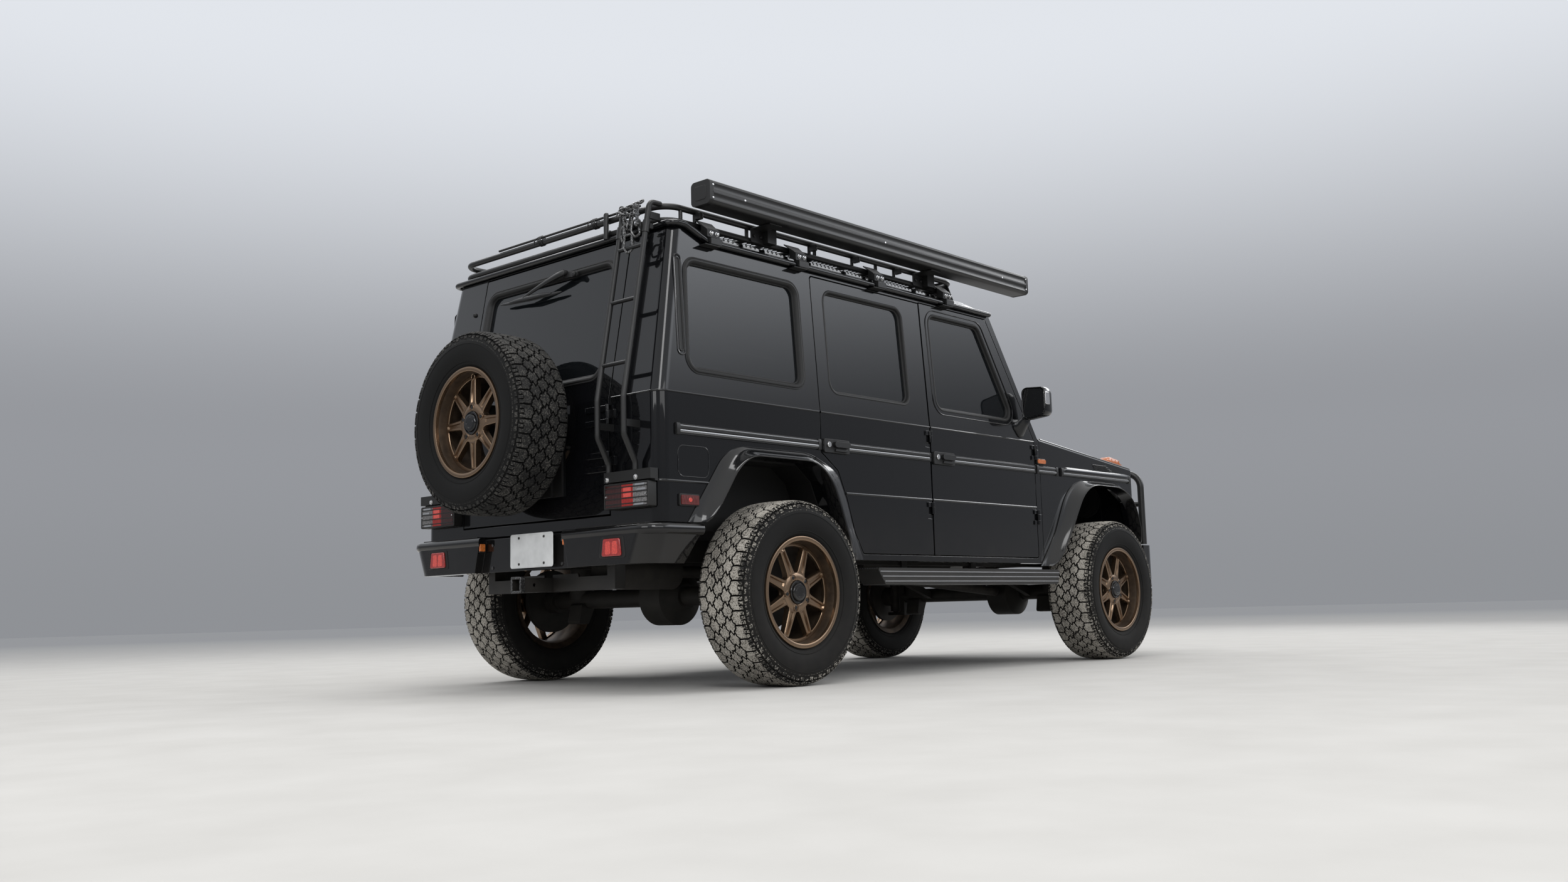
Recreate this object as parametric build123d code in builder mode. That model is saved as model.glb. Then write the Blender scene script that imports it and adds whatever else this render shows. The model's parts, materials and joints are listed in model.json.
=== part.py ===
from build123d import *
import math
import os

os.makedirs("parts", exist_ok=True)

# Lifted off-road 4x4, in millimetres: X forward, Y to the left, Z up, the tyres on Z = 0.
# The origin is under the middle of the vehicle's length and width.

# Axles and wheels
wheelbase = 2850.0
tail_reach = 1069.0     # rear axle back to the spare tyre's outer side
nose_reach = 3596.0     # rear axle forward to the brush guard
rear_axle_x = (tail_reach - nose_reach) / 2
front_axle_x = rear_axle_x + wheelbase
tyre_radius = 408.0
tyre_width = 290.0
rim_radius = 246.0
wheel_y = 860.0         # middle of each tyre from the centre line
hub_z = tyre_radius
kingpin_y = 690.0

# Body
body_y = 843.0          # half width at the belt line and below it
sill_z = 560.0
door_bottom_z = 588.0
belt_z = 1253.0
gutter_z = 1945.0
roof_z = 2010.0
gutter_half_width = 795.0
tail_x = rear_axle_x - 714.0
cowl_x = rear_axle_x + 2244.0
header_x = rear_axle_x + 1850.0
tail_lean = 0.188       # forward lean of the rear wall above the belt
corner_radius = 54.0
wall = 60.0
upper_wall = 48.0
skin = 12.0             # thickness of a door's full-size outer part
door_clearance = 6.0    # each door's edge to its opening
tailgate_clearance = 7.5
glass_thickness = 6.0
glass_depth = 20.0      # skin surface in to the glass
seat_gap = 0.3          # clearance where a piece sits in or on another

# Doors: stations from the rear axle
rear_door_back = 311.0
b_post = 1186.0
front_door_front = 2194.0
tailgate_half_width = 535.0
tailgate_bottom_z = 747.0
tailgate_top_z = 1985.0
window_corner = 55.0
door_corner = 20.0

# Fenders, nose and bonnet
nose_x = rear_axle_x + 3330.0
fender_top_back_z = 1280.0
fender_top_front_z = 1172.0
bonnet_half_width = 640.0
bonnet_gap = 6.0
fender_wall = 30.0
fender_edge = 20.0


def save(piece, name):
    piece.part.label = name
    export_step(piece.part, f"parts/{name}.step")


def block(x, y, z, mode=Mode.ADD):
    """A box between low and high stations on each axis."""
    with Locations(((x[0] + x[1]) / 2, (y[0] + y[1]) / 2, (z[0] + z[1]) / 2)):
        Box(x[1] - x[0], y[1] - y[0], z[1] - z[0], mode=mode)


def side_profile(points, y, corner=0.0, grow=0.0, mode=Mode.ADD):
    """An outline in side view (x, z), extruded between two y stations."""
    low, high = sorted(y)
    with BuildSketch(Plane.XZ.offset(-high)) as outline:
        with BuildLine():
            Polyline(*points, close=True)
        make_face()
        if corner:
            fillet(outline.vertices(), radius=corner)
        if grow:
            offset(amount=grow, kind=Kind.INTERSECTION)
    extrude(outline.sketch, amount=high - low, mode=mode)


def door_profile(points, y, grow=0.0, mode=Mode.ADD):
    """A side door's outline, with round corners except along the post between the doors."""
    low, high = sorted(y)
    with BuildSketch(Plane.XZ.offset(-high)) as outline:
        with BuildLine():
            Polyline(*points, close=True)
        make_face()
        post_x = rear_axle_x + b_post
        fillet(outline.vertices().filter_by(lambda corner: abs(corner.X - post_x) > 1.0), radius=door_corner)
        if grow:
            offset(amount=grow, kind=Kind.INTERSECTION)
    extrude(outline.sketch, amount=high - low, mode=mode)


def end_profile(points, x, corner=0.0, grow=0.0, mode=Mode.ADD):
    """An outline in end view (y, z), extruded between two x stations."""
    low, high = sorted(x)
    with BuildSketch(Plane.YZ.offset(low)) as outline:
        with BuildLine():
            Polyline(*points, close=True)
        make_face()
        if corner:
            fillet(outline.vertices(), radius=corner)
        if grow:
            offset(amount=grow, kind=Kind.INTERSECTION)
    extrude(outline.sketch, amount=high - low, mode=mode)


def rod(start, end, radius, mode=Mode.ADD):
    """A round bar between two points."""
    axis = Vector(*end) - Vector(*start)
    with BuildSketch(Plane(origin=start, z_dir=axis)) as section:
        Circle(radius)
    extrude(section.sketch, amount=axis.length, mode=mode)


def bent_tube(points, radius, bend):
    """A round tube along straight runs joined by bends."""
    with BuildLine() as path:
        FilletPolyline(*points, radius=bend)
    start = path.line @ 0
    with BuildSketch(Plane(origin=start, z_dir=path.line % 0)) as section:
        Circle(radius)
    sweep(section.sketch, path=path.line)


def turned(points, centre, outward, mode=Mode.ADD):
    """A profile of (axial, radial) points turned about a wheel's axis."""
    outward = Vector(*outward)
    with BuildSketch(Plane(origin=centre, x_dir=outward, z_dir=outward.cross(Vector(0, 0, 1)))) as profile:
        with BuildLine():
            Polyline(*points, close=True)
        make_face()
    revolve(profile.sketch, axis=Axis(centre, outward), mode=mode)


# The cabin's form: walls that lean in above the belt, with rounded rear corners.
def tail_at(z):
    return tail_x + tail_lean * max(0.0, z - belt_z)


def side_at(z):
    return body_y - (body_y - gutter_half_width) * max(0.0, z - belt_z) / (gutter_z - belt_z)


def screen_at(z):
    return cowl_x - (cowl_x - header_x) * max(0.0, z - belt_z) / (gutter_z - belt_z)


def plan_section(z, inset, front_inset):
    with BuildSketch(Plane.XY.offset(z)) as section:
        with BuildLine():
            back = tail_at(z) + inset
            front = screen_at(z) - front_inset
            half = side_at(z) - inset
            Polyline((back, -half), (front, -half), (front, half), (back, half), close=True)
        make_face()
        if inset < corner_radius:
            fillet(section.vertices().group_by(Axis.X)[0], radius=corner_radius - inset)
    return section.sketch


def cabin_form(inset, upper_inset, bottom_z, top_z, mode):
    extrude(plan_section(bottom_z, inset, inset), amount=belt_z - bottom_z, mode=mode)
    sections = [plan_section(belt_z, upper_inset, upper_inset), plan_section(top_z, upper_inset, upper_inset)]
    loft(sections=sections, ruled=True, mode=mode)


def cabin_walls(outer, inner, upper_inner, bottom_z=sill_z, top_z=gutter_z):
    """The cabin's shell between two depths under its surface, open above and below."""
    cabin_form(outer, outer, bottom_z, top_z, Mode.ADD)
    cabin_form(inner, upper_inner, bottom_z - 1.0, top_z + 1.0, Mode.SUBTRACT)


# Side outlines, as (station from the rear axle, height)
def at_station(points):
    return [(rear_axle_x + x, z) for x, z in points]


rear_side_door_outline = at_station([
    (rear_door_back, 1062.0), (432.0, 978.0), (494.0, 843.0), (545.0, 692.0), (606.0, door_bottom_z),
    (b_post, door_bottom_z), (b_post, 1918.0), (rear_door_back, 1918.0)])
front_side_door_outline = at_station([
    (b_post, door_bottom_z), (front_door_front, door_bottom_z), (front_door_front, 1262.0),
    (1812.0, 1922.0), (b_post, 1922.0)])
quarter_window = at_station([(-528.0, 1364.0), (205.0, 1364.0), (205.0, 1846.0), (-508.0, 1846.0)])
rear_side_window = at_station([(406.0, 1358.0), (1030.0, 1358.0), (1022.0, 1856.0), (406.0, 1856.0)])
front_side_window = at_station([(1270.0, 1360.0), (2005.0, 1360.0), (1728.0, 1864.0), (1262.0, 1864.0)])
tailgate_window = [(-438.0, 1367.0), (486.0, 1367.0), (482.0, 1890.0), (-434.0, 1890.0)]
windscreen_window = [(-715.0, 1310.0), (715.0, 1310.0), (672.0, 1880.0), (-672.0, 1880.0)]
tailgate_outline = [(-tailgate_half_width, tailgate_bottom_z), (tailgate_half_width, tailgate_bottom_z),
                    (tailgate_half_width, tailgate_top_z), (-tailgate_half_width, tailgate_top_z)]

# Wheel arches, as (station from the axle, height)
rear_arch = [(-470.0, 500.0), (-480.0, 720.0), (-310.0, 950.0), (-225.0, 1002.0), (195.0, 1002.0),
             (300.0, 925.0), (360.0, 797.0), (455.0, 500.0)]
front_arch = [(-600.0, 480.0), (-408.0, 735.0), (-242.0, 965.0), (-123.0, 1030.0), (222.0, 1028.0),
              (374.0, 951.0), (470.0, 700.0), (530.0, 480.0)]


def arch_at(arch, axle_x):
    return [(axle_x + x, z) for x, z in arch]


# Exposed hinges: the middle knuckle is on the body, the outer two are on the door
post_half = 38.0
hinge_heights = (1190.0, 820.0)
knuckle_radius = 9.0
hinge_setback = 8.0      # rear side door's hinge pin behind the middle of the gap
knuckle_half = 18.0
hinge_half = 42.0
hinge_notch = 6.0        # room over and under a middle knuckle's web
hinge_y = body_y + knuckle_radius
tailgate_hinge_heights = (1182.0, 980.0)
tailgate_hinge_x = tail_x - knuckle_radius - 2.0
tailgate_hinge_y = -tailgate_half_width + 4.0


def hinge_on_body(x, side, through_gap):
    for z in hinge_heights:
        height = (z - knuckle_half, z + knuckle_half)
        rod((x, side * hinge_y, height[0]), (x, side * hinge_y, height[1]), knuckle_radius)
        if through_gap:
            block((x + hinge_setback - 3.0, x + hinge_setback + 0.5), sorted((side * 770.0, side * hinge_y)),
                  height)
        else:
            block((x, x + 34.0), sorted((side * (body_y - 2.0), side * (body_y + 7.0))), height)


def hinge_on_door(x, side):
    for z in hinge_heights:
        for end in (-1, 1):
            height = sorted((z + end * (knuckle_half + seat_gap), z + end * hinge_half))
            rod((x, side * hinge_y, height[0]), (x, side * hinge_y, height[1]), knuckle_radius)
            block((x - 36.0, x), sorted((side * (body_y - 2.0), side * (body_y + 7.0))), height)


# The rear corners rise to the rear gutter along a slope
rear_gutter_z = 2004.0
gutter_tube = 13.0
rise_low = -372.0        # stations where the side gutter starts to rise and where it ends
rise_high = -515.0
header_top_z = rear_gutter_z - 2.0


def corner_rise(grow=0.0):
    """Side view of the raised rear corner."""
    return [(tail_at(gutter_z) - 100.0, gutter_z - 2.0), (rear_axle_x + rise_low + grow, gutter_z - 2.0),
            (rear_axle_x + rise_high + grow, header_top_z), (tail_at(gutter_z) - 100.0, header_top_z)]


with BuildPart() as rear_corners:
    cabin_walls(0.0, upper_wall, upper_wall, bottom_z=belt_z - 10.0, top_z=header_top_z)
    side_profile(corner_rise(), (-900.0, 900.0), mode=Mode.INTERSECT)

# Body shell: sides, pillars, rear wall, bulkhead and windscreen frame in one
with BuildPart() as body_shell:
    cabin_walls(0.0, wall, upper_wall)
    for side in (-1, 1):
        across = (side * (body_y - 170.0), side * (body_y + 10.0))
        door_profile(front_side_door_outline, across, mode=Mode.SUBTRACT)
    for side in (-1, 1):
        across = (side * (body_y - 170.0), side * (body_y + 10.0))
        door_profile(rear_side_door_outline, across, mode=Mode.SUBTRACT)
        side_profile(quarter_window, across, corner=window_corner, mode=Mode.SUBTRACT)
        side_profile(arch_at(rear_arch, rear_axle_x), across, mode=Mode.SUBTRACT)
        # Post between the two doors, just inside them, joined to the sill and the roof edge
        post = [(790.0, sill_z), (790.0, 580.0), (776.0, 580.0), (776.0, belt_z), (741.0, 1921.0),
                (762.0, 1928.0), (762.0, gutter_z), (700.0, gutter_z), (728.0, belt_z), (728.0, sill_z)]
        end_profile([(side * y, z) for y, z in post],
                    (rear_axle_x + b_post - post_half, rear_axle_x + b_post + post_half))
        hinge_on_body(rear_axle_x + b_post - hinge_setback, side, through_gap=True)
        hinge_on_body(rear_axle_x + front_door_front, side, through_gap=False)
        # Rear corner cut off above the bumper
        block((tail_x - 1.0, rear_axle_x - 440.0), sorted((side * 500.0, side * (body_y + 1.0))),
              (sill_z - 1.0, 705.0), Mode.SUBTRACT)
    add(rear_corners.part)
    end_profile(tailgate_outline, (tail_x - 10.0, tail_x + 260.0), mode=Mode.SUBTRACT)
    block((tail_x - 10.0, tail_x + wall + 10.0), (-tailgate_half_width - 20.0, tailgate_half_width + 20.0),
          (sill_z - 1.0, 700.0), Mode.SUBTRACT)
    end_profile(windscreen_window, (header_x - 60.0, cowl_x + 10.0), corner=70.0, mode=Mode.SUBTRACT)
    # The bulkhead ends above the frame rails
    block((cowl_x - wall - 1.0, cowl_x + 1.0), (-(body_y - wall), body_y - wall), (sill_z - 1.0, 722.0),
          Mode.SUBTRACT)
    for z in tailgate_hinge_heights:
        height = (z - knuckle_half, z + knuckle_half)
        rod((tailgate_hinge_x, tailgate_hinge_y, height[0]), (tailgate_hinge_x, tailgate_hinge_y, height[1]),
            knuckle_radius)
        block((tail_x - 8.0, tail_x + 2.0), (tailgate_hinge_y - 40.0, tailgate_hinge_y), height)
save(body_shell, "body_shell")


# Roof: a shallow lid with sloping shoulders and a drip rail round its foot
roof_shoulder = 66.0
rail_width = 14.0
rail_height = 16.0


def roof_section(z, side_inset, back_inset, front_inset, corner):
    with BuildSketch(Plane.XY.offset(z)) as section:
        with BuildLine():
            back = tail_at(z) + back_inset
            front = header_x - front_inset
            half = gutter_half_width - side_inset
            Polyline((back, -half), (front, -half), (front, half), (back, half), close=True)
        make_face()
        fillet(section.vertices(), radius=corner)
    return section.sketch


header_depth = upper_wall + seat_gap
with BuildPart() as roof_panel:
    extrude(roof_section(gutter_z, -rail_width, header_depth, -rail_width, corner_radius), amount=rail_height)
    loft(sections=[roof_section(gutter_z + rail_height, 4.0, header_depth, 8.0, corner_radius),
                   roof_section(roof_z, roof_shoulder, header_depth, 130.0, corner_radius)], ruled=True)
    side_profile([(tail_at(1900.0) - 100.0, 1900.0), (tail_at(1900.0) + header_depth, 1900.0),
                  (tail_at(2100.0) + header_depth, 2100.0), (tail_at(1900.0) - 100.0, 2100.0)],
                 (-900.0, 900.0), mode=Mode.SUBTRACT)
    for side in (1, -1):
        side_profile([(x, z) if z < header_top_z else (x, z + 40.0) for x, z in corner_rise(3.0)],
                     (side * (side_at(header_top_z) - upper_wall - 1.0), side * 900.0), mode=Mode.SUBTRACT)
    # Hollow underside over the cabin
    block((tail_at(gutter_z) + 130.0, header_x - 90.0), (-700.0, 700.0), (gutter_z - 1.0, gutter_z + 38.0),
          Mode.SUBTRACT)
    # Round gutter along each side, rising at the rear corners and crossing the tail
    gutter_y = gutter_half_width + gutter_tube + 1.0
    rise_y = side_at(header_top_z) + gutter_tube + seat_gap + 1.0
    rear_x = tail_at(rear_gutter_z) - gutter_tube - seat_gap
    side_run_z = gutter_z + gutter_tube - 10.0
    bent_tube([(header_x - 10.0, gutter_y, side_run_z), (rear_axle_x + rise_low, gutter_y, side_run_z),
               (rear_axle_x + rise_high, rise_y, rear_gutter_z), (rear_x, rise_y, rear_gutter_z),
               (rear_x, -rise_y, rear_gutter_z), (rear_axle_x + rise_high, -rise_y, rear_gutter_z),
               (rear_axle_x + rise_low, -gutter_y, side_run_z), (header_x - 10.0, -gutter_y, side_run_z)],
              gutter_tube, 42.0)
save(roof_panel, "roof_panel")

# Fixed glass: windscreen and the two quarter windows
with BuildPart() as windscreen:
    cabin_walls(glass_depth, glass_depth + glass_thickness, glass_depth + glass_thickness)
    end_profile(windscreen_window, (header_x - 60.0, cowl_x + 10.0), corner=70.0, grow=-seat_gap,
                mode=Mode.INTERSECT)
with BuildPart() as quarter_panes:
    cabin_walls(glass_depth, glass_depth + glass_thickness, glass_depth + glass_thickness)
    side_profile(quarter_window, (-900.0, 900.0), corner=window_corner, grow=-seat_gap, mode=Mode.INTERSECT)
with BuildPart() as fixed_glass:
    add(windscreen.part)
    add(quarter_panes.part)
save(fixed_glass, "fixed_glass")


# Side doors: an outer skin over a smaller inner body, with the window cut through both
door_step = 12.0
doors = [
    # node, side, outline, window
    ("door_front_left", 1, front_side_door_outline, front_side_window),
    ("door_front_right", -1, front_side_door_outline, front_side_window),
    ("door_rear_left", 1, rear_side_door_outline, rear_side_window),
    ("door_rear_right", -1, rear_side_door_outline, rear_side_window),
]
for name, side, outline, window in doors:
    across = (side * (body_y - 170.0), side * (body_y + 10.0))
    with BuildPart() as door_skin:
        cabin_walls(0.0, skin, skin)
        door_profile(outline, across, grow=-door_clearance, mode=Mode.INTERSECT)
    with BuildPart() as door_core:
        cabin_walls(skin, wall, upper_wall)
        door_profile(outline, across, grow=-door_clearance - door_step, mode=Mode.INTERSECT)
    with BuildPart() as door:
        add(door_skin.part)
        add(door_core.part)
        side_profile(window, across, corner=window_corner, mode=Mode.SUBTRACT)
        if "front" in name:
            hinge_on_door(rear_axle_x + front_door_front, side)
        else:
            for z in hinge_heights:
                block((rear_axle_x + b_post - 14.0, rear_axle_x + b_post),
                      sorted((side * 760.0, side * (body_y + 1.0))),
                      (z - knuckle_half - hinge_notch, z + knuckle_half + hinge_notch), Mode.SUBTRACT)
            hinge_on_door(rear_axle_x + b_post - hinge_setback, side)
    save(door, name)
    with BuildPart() as pane:
        cabin_walls(glass_depth, glass_depth + glass_thickness, glass_depth + glass_thickness)
        side_profile(window, across, corner=window_corner, grow=-seat_gap, mode=Mode.INTERSECT)
    save(pane, name.replace("door", "glass"))

# Door mirrors on a foot at the front door's corner
mirror_reach = 1027.0
mirror_inner_y = 868.0
mirror_scale = (mirror_reach - mirror_inner_y) / 159.0     # 1 for a head 159 wide
for name, side in (("mirror_left", 1), ("mirror_right", -1)):
    with BuildPart() as mirror:
        with BuildSketch(Plane.XY.offset(1400.0)) as head:
            with BuildLine():
                Polyline(*[(rear_axle_x + x, side * y) for x, y in
                           [(2040.0, mirror_inner_y), (2040.0, mirror_reach),
                            (2110.0, mirror_reach - 12.0 * mirror_scale),
                            (2150.0, mirror_reach - 60.0 * mirror_scale), (2150.0, mirror_inner_y)]],
                         close=True)
            make_face()
            fillet(head.vertices(), radius=16.0 * mirror_scale)
        extrude(head.sketch, amount=190.0)
        fillet(mirror.faces().filter_by(Axis.Z).edges(), radius=12.0 * mirror_scale)
        block((rear_axle_x + 2080.0, rear_axle_x + 2130.0), sorted((side * (body_y + seat_gap), side * 900.0)),
              (1236.0, 1420.0))
    save(mirror, name)

# Rear door with its window, and the glass
with BuildPart() as tailgate_skin:
    cabin_walls(0.0, skin, skin, top_z=tailgate_top_z)
    end_profile(tailgate_outline, (tail_x - 10.0, tail_x + 260.0), grow=-tailgate_clearance,
                mode=Mode.INTERSECT)
with BuildPart() as tailgate_core:
    cabin_walls(skin, wall, upper_wall, top_z=tailgate_top_z)
    end_profile(tailgate_outline, (tail_x - 10.0, tail_x + 260.0), grow=-tailgate_clearance - door_step,
                mode=Mode.INTERSECT)
with BuildPart() as rear_door:
    add(tailgate_skin.part)
    add(tailgate_core.part)
    end_profile(tailgate_window, (tail_x - 10.0, tail_x + 260.0), corner=window_corner, mode=Mode.SUBTRACT)
    for z in tailgate_hinge_heights:
        for end in (-1, 1):
            height = sorted((z + end * (knuckle_half + seat_gap), z + end * hinge_half))
            rod((tailgate_hinge_x, tailgate_hinge_y, height[0]),
                (tailgate_hinge_x, tailgate_hinge_y, height[1]), knuckle_radius)
            block((tail_x - 8.0, tail_x + 2.0), (tailgate_hinge_y, tailgate_hinge_y + 150.0), height)
save(rear_door, "rear_door")
with BuildPart() as glass_rear:
    cabin_walls(glass_depth, glass_depth + glass_thickness, glass_depth + glass_thickness)
    end_profile(tailgate_window, (tail_x - 10.0, tail_x + 260.0), corner=window_corner, grow=-seat_gap,
                mode=Mode.INTERSECT)
save(glass_rear, "glass_rear")

# Front fenders with their tops, and the nose panel with the grille opening
fender_slope = (fender_top_back_z - fender_top_front_z) / (nose_x - cowl_x)
fender_back_x = cowl_x + 4.0


def fender_top(x):
    return fender_top_back_z - fender_slope * (x - cowl_x)


with BuildPart() as front_fenders:
    for side in (1, -1):
        outline = [(fender_back_x, sill_z), (nose_x, 690.0), (nose_x, fender_top(nose_x)),
                   (fender_back_x, fender_top(fender_back_x))]
        side_profile(outline, (side * (bonnet_half_width + bonnet_gap), side * body_y))
        top_edge = front_fenders.edges().filter_by(lambda edge: edge.center().Y * side > body_y - 1.0)
        fillet(top_edge.sort_by(Axis.Z)[-1], radius=fender_edge)
        inner = [(fender_back_x - 1.0, sill_z - 200.0), (nose_x - 40.0, sill_z - 200.0),
                 (nose_x - 40.0, fender_top(nose_x) - 40.0),
                 (fender_back_x - 1.0, fender_top(fender_back_x) - 40.0)]
        side_profile(inner, (side * 600.0, side * (body_y - fender_wall)), mode=Mode.SUBTRACT)
        side_profile(arch_at(front_arch, front_axle_x), (side * 600.0, side * (body_y + 1.0)),
                     mode=Mode.SUBTRACT)
save(front_fenders, "front_fenders")

grille_half_width = 395.0
grille_low_z = 800.0
grille_high_z = 1105.0
lamp_y = 570.0
lamp_z = 980.0
lamp_radius = 105.0
nose_thickness = 40.0
with BuildPart() as nose_panel:
    block((nose_x - nose_thickness, nose_x), (-bonnet_half_width - bonnet_gap + seat_gap, bonnet_half_width
          + bonnet_gap - seat_gap), (690.0, 1140.0))
    block((nose_x - nose_thickness - 1.0, nose_x + 1.0), (-grille_half_width, grille_half_width),
          (grille_low_z, grille_high_z), Mode.SUBTRACT)
    for side in (1, -1):
        rod((nose_x - nose_thickness - 1.0, side * (lamp_y - 35.0), lamp_z),
            (nose_x + 1.0, side * (lamp_y - 35.0), lamp_z), lamp_radius, Mode.SUBTRACT)
save(nose_panel, "nose_panel")

grille_bars = 5
with BuildPart() as grille:
    block((nose_x - 30.0, nose_x + 22.0), (-grille_half_width + seat_gap, grille_half_width - seat_gap),
          (grille_low_z + seat_gap, grille_high_z - seat_gap))
    block((nose_x - 8.0, nose_x + 23.0), (-grille_half_width + 24.0, grille_half_width - 24.0),
          (grille_low_z + 24.0, grille_high_z - 24.0), Mode.SUBTRACT)
    pitch = (grille_high_z - grille_low_z - 48.0) / grille_bars
    for bar in range(grille_bars):
        low = grille_low_z + 24.0 + pitch * (bar + 0.25)
        block((nose_x - 8.0, nose_x + 16.0), (-grille_half_width + 24.0, grille_half_width - 24.0),
              (low, low + pitch * 0.5))
save(grille, "grille")

with BuildPart() as front_lamps:
    for side in (1, -1):
        centre = (nose_x - nose_thickness + 4.0, side * (lamp_y - 35.0), lamp_z)
        turned([(0.0, 0.0), (0.0, lamp_radius - seat_gap), (48.0, lamp_radius - seat_gap), (58.0, 70.0),
                (63.0, 0.0)], centre, (1, 0, 0))
        lamp_x = nose_x - 175.0
        top = fender_top(lamp_x)
        side_profile([(lamp_x - 75.0, fender_top(lamp_x - 75.0) + seat_gap),
                      (lamp_x + 75.0, fender_top(lamp_x + 75.0) + seat_gap),
                      (lamp_x + 60.0, top + 38.0), (lamp_x - 50.0, top + 48.0)], (side * 705.0, side * 790.0))
save(front_lamps, "front_lamps")

# Bonnet: a panel with a raised middle, hinged at the windscreen
bonnet_back_x = cowl_x + 52.0
bonnet_front_x = nose_x - bonnet_gap
bonnet_hinge_x = bonnet_back_x - bonnet_gap / 2
bonnet_hinge_z = fender_top(bonnet_back_x) + 10.0
bonnet_hinge_y = (-555.0, 555.0)
with BuildPart() as bonnet:
    low = 26.0
    side_profile([(bonnet_back_x, fender_top(bonnet_back_x) - low),
                  (bonnet_front_x, fender_top(bonnet_front_x) - low),
                  (bonnet_front_x, fender_top(bonnet_front_x)), (bonnet_back_x, fender_top(bonnet_back_x))],
                 (-bonnet_half_width, bonnet_half_width))
    side_profile([(bonnet_back_x, fender_top(bonnet_back_x) - 1.0),
                  (bonnet_front_x - 20.0, fender_top(bonnet_front_x - 20.0) - 1.0),
                  (bonnet_front_x - 90.0, fender_top(bonnet_front_x - 90.0) + 26.0),
                  (bonnet_back_x + 60.0, fender_top(bonnet_back_x) + 24.0),
                  (bonnet_back_x + 40.0, fender_top(bonnet_back_x) + 2.0)], (-470.0, 470.0))
    for y in bonnet_hinge_y:
        for end in (-1, 1):
            width = sorted((y + end * (knuckle_half + seat_gap), y + end * hinge_half))
            rod((bonnet_hinge_x, width[0], bonnet_hinge_z), (bonnet_hinge_x, width[1], bonnet_hinge_z), 8.0)
            block((bonnet_hinge_x, bonnet_hinge_x + 60.0), width,
                  (bonnet_hinge_z - 12.0, bonnet_hinge_z - 1.0))
save(bonnet, "bonnet")

# Cowl between the windscreen and the bonnet
with BuildPart() as cowl:
    side_profile([(cowl_x + 0.5, 1180.0), (bonnet_back_x - bonnet_gap, 1180.0),
                  (bonnet_back_x - bonnet_gap, fender_top(bonnet_back_x)), (cowl_x + 0.5, 1268.0)],
                 (-bonnet_half_width - bonnet_gap + seat_gap, bonnet_half_width + bonnet_gap - seat_gap))
    for y in bonnet_hinge_y:
        width = (y - knuckle_half, y + knuckle_half)
        rod((bonnet_hinge_x, width[0], bonnet_hinge_z), (bonnet_hinge_x, width[1], bonnet_hinge_z), 8.0)
        block((bonnet_hinge_x - 30.0, bonnet_hinge_x), width, (bonnet_hinge_z - 12.0, bonnet_hinge_z - 1.0))
save(cowl, "cowl")

# Floor tub: floor, rear wheel boxes, inner fenders of the engine bay
floor_z = 690.0
floor_thickness = 30.0
inner_y = body_y - wall
wheel_box_y = 600.0
with BuildPart() as floor_tub:
    block((tail_x + wall + seat_gap, cowl_x - wall - seat_gap), (-inner_y + seat_gap, inner_y - seat_gap),
          (floor_z, floor_z + floor_thickness))
    for side in (1, -1):
        arch = arch_at([(-478.0, floor_z), (-478.0, 760.0), (-322.0, 978.0), (-235.0, 1026.0),
                        (205.0, 1026.0), (318.0, 945.0), (385.0, 805.0), (412.0, floor_z)], rear_axle_x)
        side_profile(arch, (side * wheel_box_y, side * (inner_y - seat_gap)))
        opening = arch_at([(-448.0, floor_z - 1.0), (-448.0, 752.0), (-305.0, 952.0), (-225.0, 998.0),
                           (195.0, 998.0), (295.0, 925.0), (355.0, 797.0), (382.0, floor_z - 1.0)],
                          rear_axle_x)
        side_profile(opening, (side * (wheel_box_y + 28.0), side * (inner_y + 1.0)), mode=Mode.SUBTRACT)
        # Notch for the post between the doors
        block((rear_axle_x + b_post - post_half - seat_gap, rear_axle_x + b_post + post_half + seat_gap),
              sorted((side * (728.0 - seat_gap), side * (inner_y + 1.0))),
              (floor_z - 1.0, floor_z + floor_thickness + 1.0), Mode.SUBTRACT)
save(floor_tub, "floor_tub")

inner_fender_y = 470.0
with BuildPart() as engine_bay:
    for side in (1, -1):
        block((cowl_x + seat_gap, nose_x - nose_thickness - seat_gap),
              sorted((side * (inner_fender_y - 20.0), side * inner_fender_y)), (720.0, 1085.0))
        block((cowl_x + seat_gap, nose_x - nose_thickness - seat_gap),
              sorted((side * inner_fender_y, side * (bonnet_half_width + bonnet_gap - seat_gap))),
              (1065.0, 1085.0))
    block((nose_x - nose_thickness - seat_gap - 60.0, nose_x - nose_thickness - seat_gap), (-450.0, 450.0),
          (720.0, 1085.0))
save(engine_bay, "engine_bay")

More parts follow.
